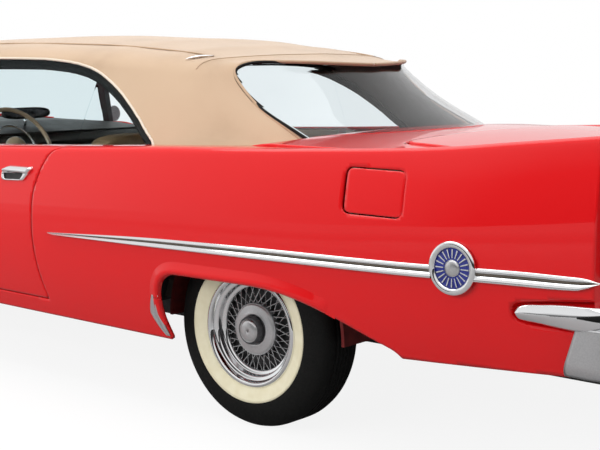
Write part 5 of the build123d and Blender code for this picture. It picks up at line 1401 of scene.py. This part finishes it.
addPiece("dashMirrorStalk", *carried(stalkPath, ring(10, 0.007), up=(1, 0, 0)), chrome, "body", "dash",
         outward=True)
sideMirror = {"centre": (1.305, 0.922, 0.947)}
mirrorCup = [(0.0, 0.030), (0.024, 0.027), (0.042, 0.015), (0.048, 0.002), (0.047, -0.003), (0.044, -0.001)]
mirrorDisc = [(0.0445, -0.0005), (0.02, -0.0005), (0.0, -0.0005)]
for side, way in bothSides:
    middle = np.array(sideMirror["centre"]) * (1, way, 1)
    for name, line, finish in (("Cup_", mirrorCup, chrome), ("Face_", mirrorDisc, castMetal)):
        turned = facingAhead(line, middle, 64)
        addPiece("sideMirror" + name + side, *turned, finish, "body", "chrome", outward=True)
    post = np.array([(0.010, 0, -0.052), (0.012, 0, -0.044), (0.014, 0, -0.030)]) + middle
    shaft = carried(post, ring(10, 0.008), up=(1, 0, 0), scale=np.array([1.6, 1.0, 0.9]))
    addPiece("sideMirrorPost_" + side, *shaft, chrome, "body", "chrome", outward=True)

hingeZ = np.array([0.505, 0.675])
armOpening = {"rearX": 1.015, "half": 0.026, "edgeHalf": 0.030}
pleats = {"pitch": 0.07, "depth": 0.004, "z": (0.50, 0.72)}
# door shells: edge returns from the skin to the cabin, and a leather card with pleats
for side, way in bothSides:
    outline = doorOutline(0, doorFrontX)
    near = np.stack([outline[:, 0], np.minimum(outline[:, 1], 0.93)], -1)
    near = near[:46]
    loop = np.concatenate([near, [(doorFrontX, 0.884), (doorFrontX, 0.6), (doorFrontX, 0.351)]])
    loop = np.concatenate([loop, loop[:1]])
    at = lengthAlong(loop)
    loop = readAt(loop, np.linspace(0, at[-1], 260))
    outer = wallPoint(loop[:, 0], loop[:, 1])
    outer[:, 1] -= 0.010
    inner = outer.copy()
    inner[:, 1] = wall["innerY"] + 0.004
    k = np.linspace(0, 1, 5)[None, :, None]
    edge = outer[:, None] * (1 - k) + inner[:, None] * k
    f = gridFaces(260, 5)
    # the hinge arms pass through openings in the front return
    nearArm = np.abs(loop[:, 1:] - hingeZ).min(1) < armOpening["edgeHalf"]
    armSlot = (loop[:, 0] > doorFrontX - 0.002) & nearArm
    f = f[~armSlot[f // 5].any(1)]
    addPiece("doorEdge_" + side, *onSide(edge, f, way), redPaint, "door_" + side, "body_paint",
             outward=True)
    cx, cz = gridOf(np.linspace(doorRearX - 0.13, doorFrontX, 130), np.linspace(0.345, 0.93, 60))
    cardOutline = np.concatenate([near, [(doorFrontX, 0.890), (doorFrontX, 0.351)]])
    rear, front, half = armOpening["rearX"], doorFrontX + 0.03, armOpening["half"]
    slots = [np.array([(rear, z - half), (front, z - half), (front, z + half), (rear, z + half)])
             for z in hingeZ]
    u, v, f = trimmed(cx, cz, cardOutline, slots)
    sewn = (v > pleats["z"][0]) & (v < pleats["z"][1])
    pleat = pleats["depth"] * np.abs(np.sin(np.pi * u / pleats["pitch"])) ** 0.6 * sewn
    card = np.stack([u, wall["innerY"] + 0.004 - pleat * 0.8, v], -1)
    addPiece("doorCard_" + side, *onSide(card, f[:, ::-1], way), tanLeather, "door_" + side,
             "seat_leather", sheet=-0.003)

# cabin side trim behind the doors and carpet over the floor
k, sz = gridOf(np.linspace(0, 1, 60), np.linspace(0.42, 0.93, 40))
opening = {"radius": 0.53, "axleZ": 0.345, "least": 0.25}  # the trim's rear edge goes round the wheel
aboveAxle = np.maximum(sz - opening["axleZ"], 0)
trimRear = rearAxleX + np.sqrt(np.maximum(opening["radius"]**2 - aboveAxle**2, opening["least"]**2))
sx = trimRear + (doorRearX - 0.13 - trimRear) * k
sideY = wall["innerY"] - 0.003 - 0.003 * np.abs(np.sin(np.pi * sx / pleats["pitch"])) ** 0.6
trimWall = np.stack([sx, sideY, sz], -1)
f = gridFaces(60, 40)
addPiece("cabinSides", *mirrored(trimWall, f[:, ::-1]), tanLeather, "body", "seat_leather")
floorX, floorY = gridOf(np.linspace(rearAxleX + 0.716, doorFrontX - 0.02, 60),
                        np.linspace(0.165, 0.790, 24))
carpetTop = np.stack([floorX, floorY, np.full(floorX.shape, 0.3385)], -1)
f = gridFaces(60, 24)
addPiece("floorCarpet", *mirrored(carpetTop, f), carpet, "body", "underbody", outward=True, sheet=0.002)
# gutters under the hood's side gaps, trim in the top's well, and the boot's floor
hoodLow, hoodHigh = (np.array(corner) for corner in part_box("hood"))
gutterX = np.linspace(hoodLow[0] + 0.02, hoodHigh[0] - 0.05, 60)[:, None]
gutterZ = pchip(np.array(fenderTopZ[0]) + frontAxleX, fenderTopZ[1], gutterX)
gutterY = np.array([0.752, 0.744, 0.735, 0.712, 0.690])
gutterDrop = np.array([-0.012, -0.038, -0.050, -0.054, -0.050])
wellX = np.linspace(rearAxleX - 0.30, rearAxleX + 0.55, 40)[:, None]
wellLip = pchip(np.array(beltBaseZ[0]) + rearAxleX, beltBaseZ[1], wellX) - 0.010
wellY = np.array([0.600, 0.780, 0.815, 0.835, 0.850])
wellRise = np.array([0.0, 0.0, 0.15, 0.55, 1.0])
matX = np.linspace(rearAxleX - 1.150, rearAxleX - 0.520, 40)[:, None]
matReach = wallPoint(matX[:, 0], np.full(40, 0.455))[:, 1:2] - 0.012
trimSheets = {
    "hoodGutters": (gutterX, gutterY, gutterZ + gutterDrop, blackPaintAndPaintedShade, "underbody"),
    "wellTrim": (wellX, wellY, 0.925 + (wellLip - 0.925) * wellRise, darkTrim, "seat_leather"),
    "bootFloor": (matX, matReach * np.linspace(0, 1, 12), np.full((40, 12), 0.455), carpet, "underbody"),
}
for name, (x, y, z, finish, slot) in trimSheets.items():
    half = np.stack(np.broadcast_arrays(x, y, z), -1)
    f = gridFaces(*half.shape[:2])
    addPiece(name, *mirrored(half, f), finish, "body", slot, outward=True, sheet=0.003)
print("inside done")

# finishes for the CAD pieces that show as they are

nodeFinishes = (
    (blackPaintAndPaintedShade, ("frame_rails", "crossmembers", "floor_pan", "radiator")),
    (redPaint, ("cowl", "front_panel")),
    (darkRed, ("wheel_houses",)),
    (castMetal, ("engine_block", "knuckle_left", "knuckle_right")),
    (chrome, ("grille", "front_bumper", "headlamps")),
    (postGrey, ("windshield_frame",)),
    (redLens, ("tail_lamps",)),
    (underSteel, ("rear_axle", "exhaust_system", "fuel_tank")),
    (clearGlass, ("door_glass_left", "door_glass_right")),
)
for finish, names in nodeFinishes:
    for name in names:
        piece = frame["nodes"][name]
        piece.data.materials.clear()
        piece.data.materials.append(finish)
print("plain pieces finished")

# camera, floor and light

camera = {"place": (-4.205, 4.015, 1.296), "yaw": -50.31, "pitch": 7.78, "roll": -0.25, "focal": 1252.7,
          "imageWidth": 600}


def setCamera():
    yaw, pitch, roll = (math.radians(camera[k]) for k in ("yaw", "pitch", "roll"))
    forward = np.array([math.cos(yaw) * math.cos(pitch), math.sin(yaw) * math.cos(pitch), -math.sin(pitch)])
    level = np.array([math.sin(yaw), -math.cos(yaw), 0])
    down = np.cross(forward, level)
    across = math.cos(roll) * level + math.sin(roll) * down
    upward = -(-math.sin(roll) * level + math.cos(roll) * down)
    lens = bpy.data.cameras.new("photoCamera")
    lens.sensor_fit = "HORIZONTAL"
    lens.sensor_width = 36.0
    lens.lens = 36.0 * camera["focal"] / camera["imageWidth"]
    lens.clip_end = 200
    view = bpy.data.objects.new("photoCamera", lens)
    scene.collection.objects.link(view)
    axes = np.stack([across, upward, -forward], 1)
    view.matrix_world = Matrix.Translation(camera["place"]) @ Matrix(axes.tolist()).to_4x4()
    scene.camera = view


def softBox(name, place, aim, size, power):
    # a rectangle of light at a place, facing its aim
    light = bpy.data.lights.new(name, "AREA")
    light.shape = "RECTANGLE"
    light.size, light.size_y = size
    light.energy = power
    lamp = bpy.data.objects.new(name, light)
    scene.collection.objects.link(lamp)
    lamp.location = place
    way = Matrix.Translation(aim).to_translation() - lamp.location
    lamp.rotation_euler = way.to_track_quat("-Z", "Y").to_euler()


setCamera()
lights = {
    "overhead": {"place": (-0.6, 0.6, 5.5), "aim": (-0.6, 0, 0), "size": (8.0, 5.0), "power": 235},
    "flank": {"place": (0.8, 7.5, 2.8), "aim": (0.0, 0, 0.6), "size": (8.0, 3.0), "power": 360},
    "tail": {"place": (-8.0, 1.0, 2.6), "aim": (-2.0, 0, 0.7), "size": (4.0, 3.0), "power": 60},
}
for name, light in lights.items():
    softBox(name, **light)
for name in ("flank", "tail"):
    bpy.data.objects[name].visible_glossy = False
# the room: white to the eye, and in reflections bright overhead and ahead but dim behind the camera
world = bpy.data.worlds.new("studio")
scene.world = world
world.use_nodes = True
skyNodes, skyLinks = world.node_tree.nodes, world.node_tree.links
skyWay = skyNodes.new("ShaderNodeTexCoord").outputs["Generated"]
skySplit = skyNodes.new("ShaderNodeSeparateXYZ")
skyLinks.new(skyWay, skySplit.inputs[0])
brightSky = rampNode(skyNodes, skyLinks, skySplit.outputs["Z"],
                     [(0.0, grey(0.95)), (0.4, grey(0.85)), (0.75, grey(0.8)), (1.0, grey(0.55))])
dimSky = rampNode(skyNodes, skyLinks, skySplit.outputs["Z"],
                  [(0.0, grey(0.03)), (0.22, grey(0.04)), (0.42, grey(0.85)), (0.75, grey(0.85)),
                   (1.0, grey(0.55))])
towards = skyNodes.new("ShaderNodeVectorMath")
towards.operation = "DOT_PRODUCT"
skyLinks.new(skyWay, towards.inputs[0])
towards.inputs[1].default_value = (-0.72, 0.69, 0.0)
dimPart = mapRange(skyNodes, skyLinks, towards.outputs["Value"], -0.12, 0.26, 0.0, 1.0)
room = mixColour(skyNodes, skyLinks, dimPart, brightSky, dimSky)
seen = seenDirectly(skyNodes, skyLinks)
skyLinks.new(mixColour(skyNodes, skyLinks, seen, room, grey(1.0)), skyNodes["Background"].inputs["Color"])
floorMesh = bpy.data.meshes.new("floor")
floorMesh.from_pydata([(-60, -60, 0), (60, -60, 0), (60, 60, 0), (-60, 60, 0)], [], [(0, 1, 2, 3)])
floor = bpy.data.objects.new("floor", floorMesh)
scene.collection.objects.link(floor)
floorFinish, floorNodes, floorLinks, floorShader = newMaterial("paleFloor")
floorGlow = {"near": (3.2, 8.0, 0.88, 1.0), "far": (4.0, 16.0, 0.0, 0.55), "tone": 0.30, "seenTone": 0.88}
reach = floorNodes.new("ShaderNodeVectorMath")
reach.operation = "LENGTH"
floorLinks.new(floorNodes.new("ShaderNodeTexCoord").outputs["Object"], reach.inputs[0])
spread = mapRange(floorNodes, floorLinks, reach.outputs["Value"], *floorGlow["near"])
eye = seenDirectly(floorNodes, floorLinks)
floorTone = mixColour(floorNodes, floorLinks, eye, grey(floorGlow["tone"]), grey(floorGlow["seenTone"]))
floorLinks.new(floorTone, floorShader.inputs["Base Color"])
floorShader.inputs["Roughness"].default_value = 0.9
floorShader.inputs["Specular IOR Level"].default_value = 0.0
nearGlow = mathNode(floorNodes, floorLinks, "MULTIPLY", spread, eye)
# the far floor brightens to the sky's own tone, so no hard horizon shows in the paint
farGlow = mapRange(floorNodes, floorLinks, reach.outputs["Value"], *floorGlow["far"])
fade = floorNodes.new("ShaderNodeMixShader")
floorLinks.new(mathNode(floorNodes, floorLinks, "MAXIMUM", nearGlow, farGlow), fade.inputs["Fac"])
floorLinks.new(floorShader.outputs[0], fade.inputs[1])
floorLinks.new(floorNodes.new("ShaderNodeEmission").outputs[0], fade.inputs[2])
floorLinks.new(fade.outputs[0], floorNodes["Material Output"].inputs["Surface"])
floor.data.materials.append(floorFinish)
print("stage ready")
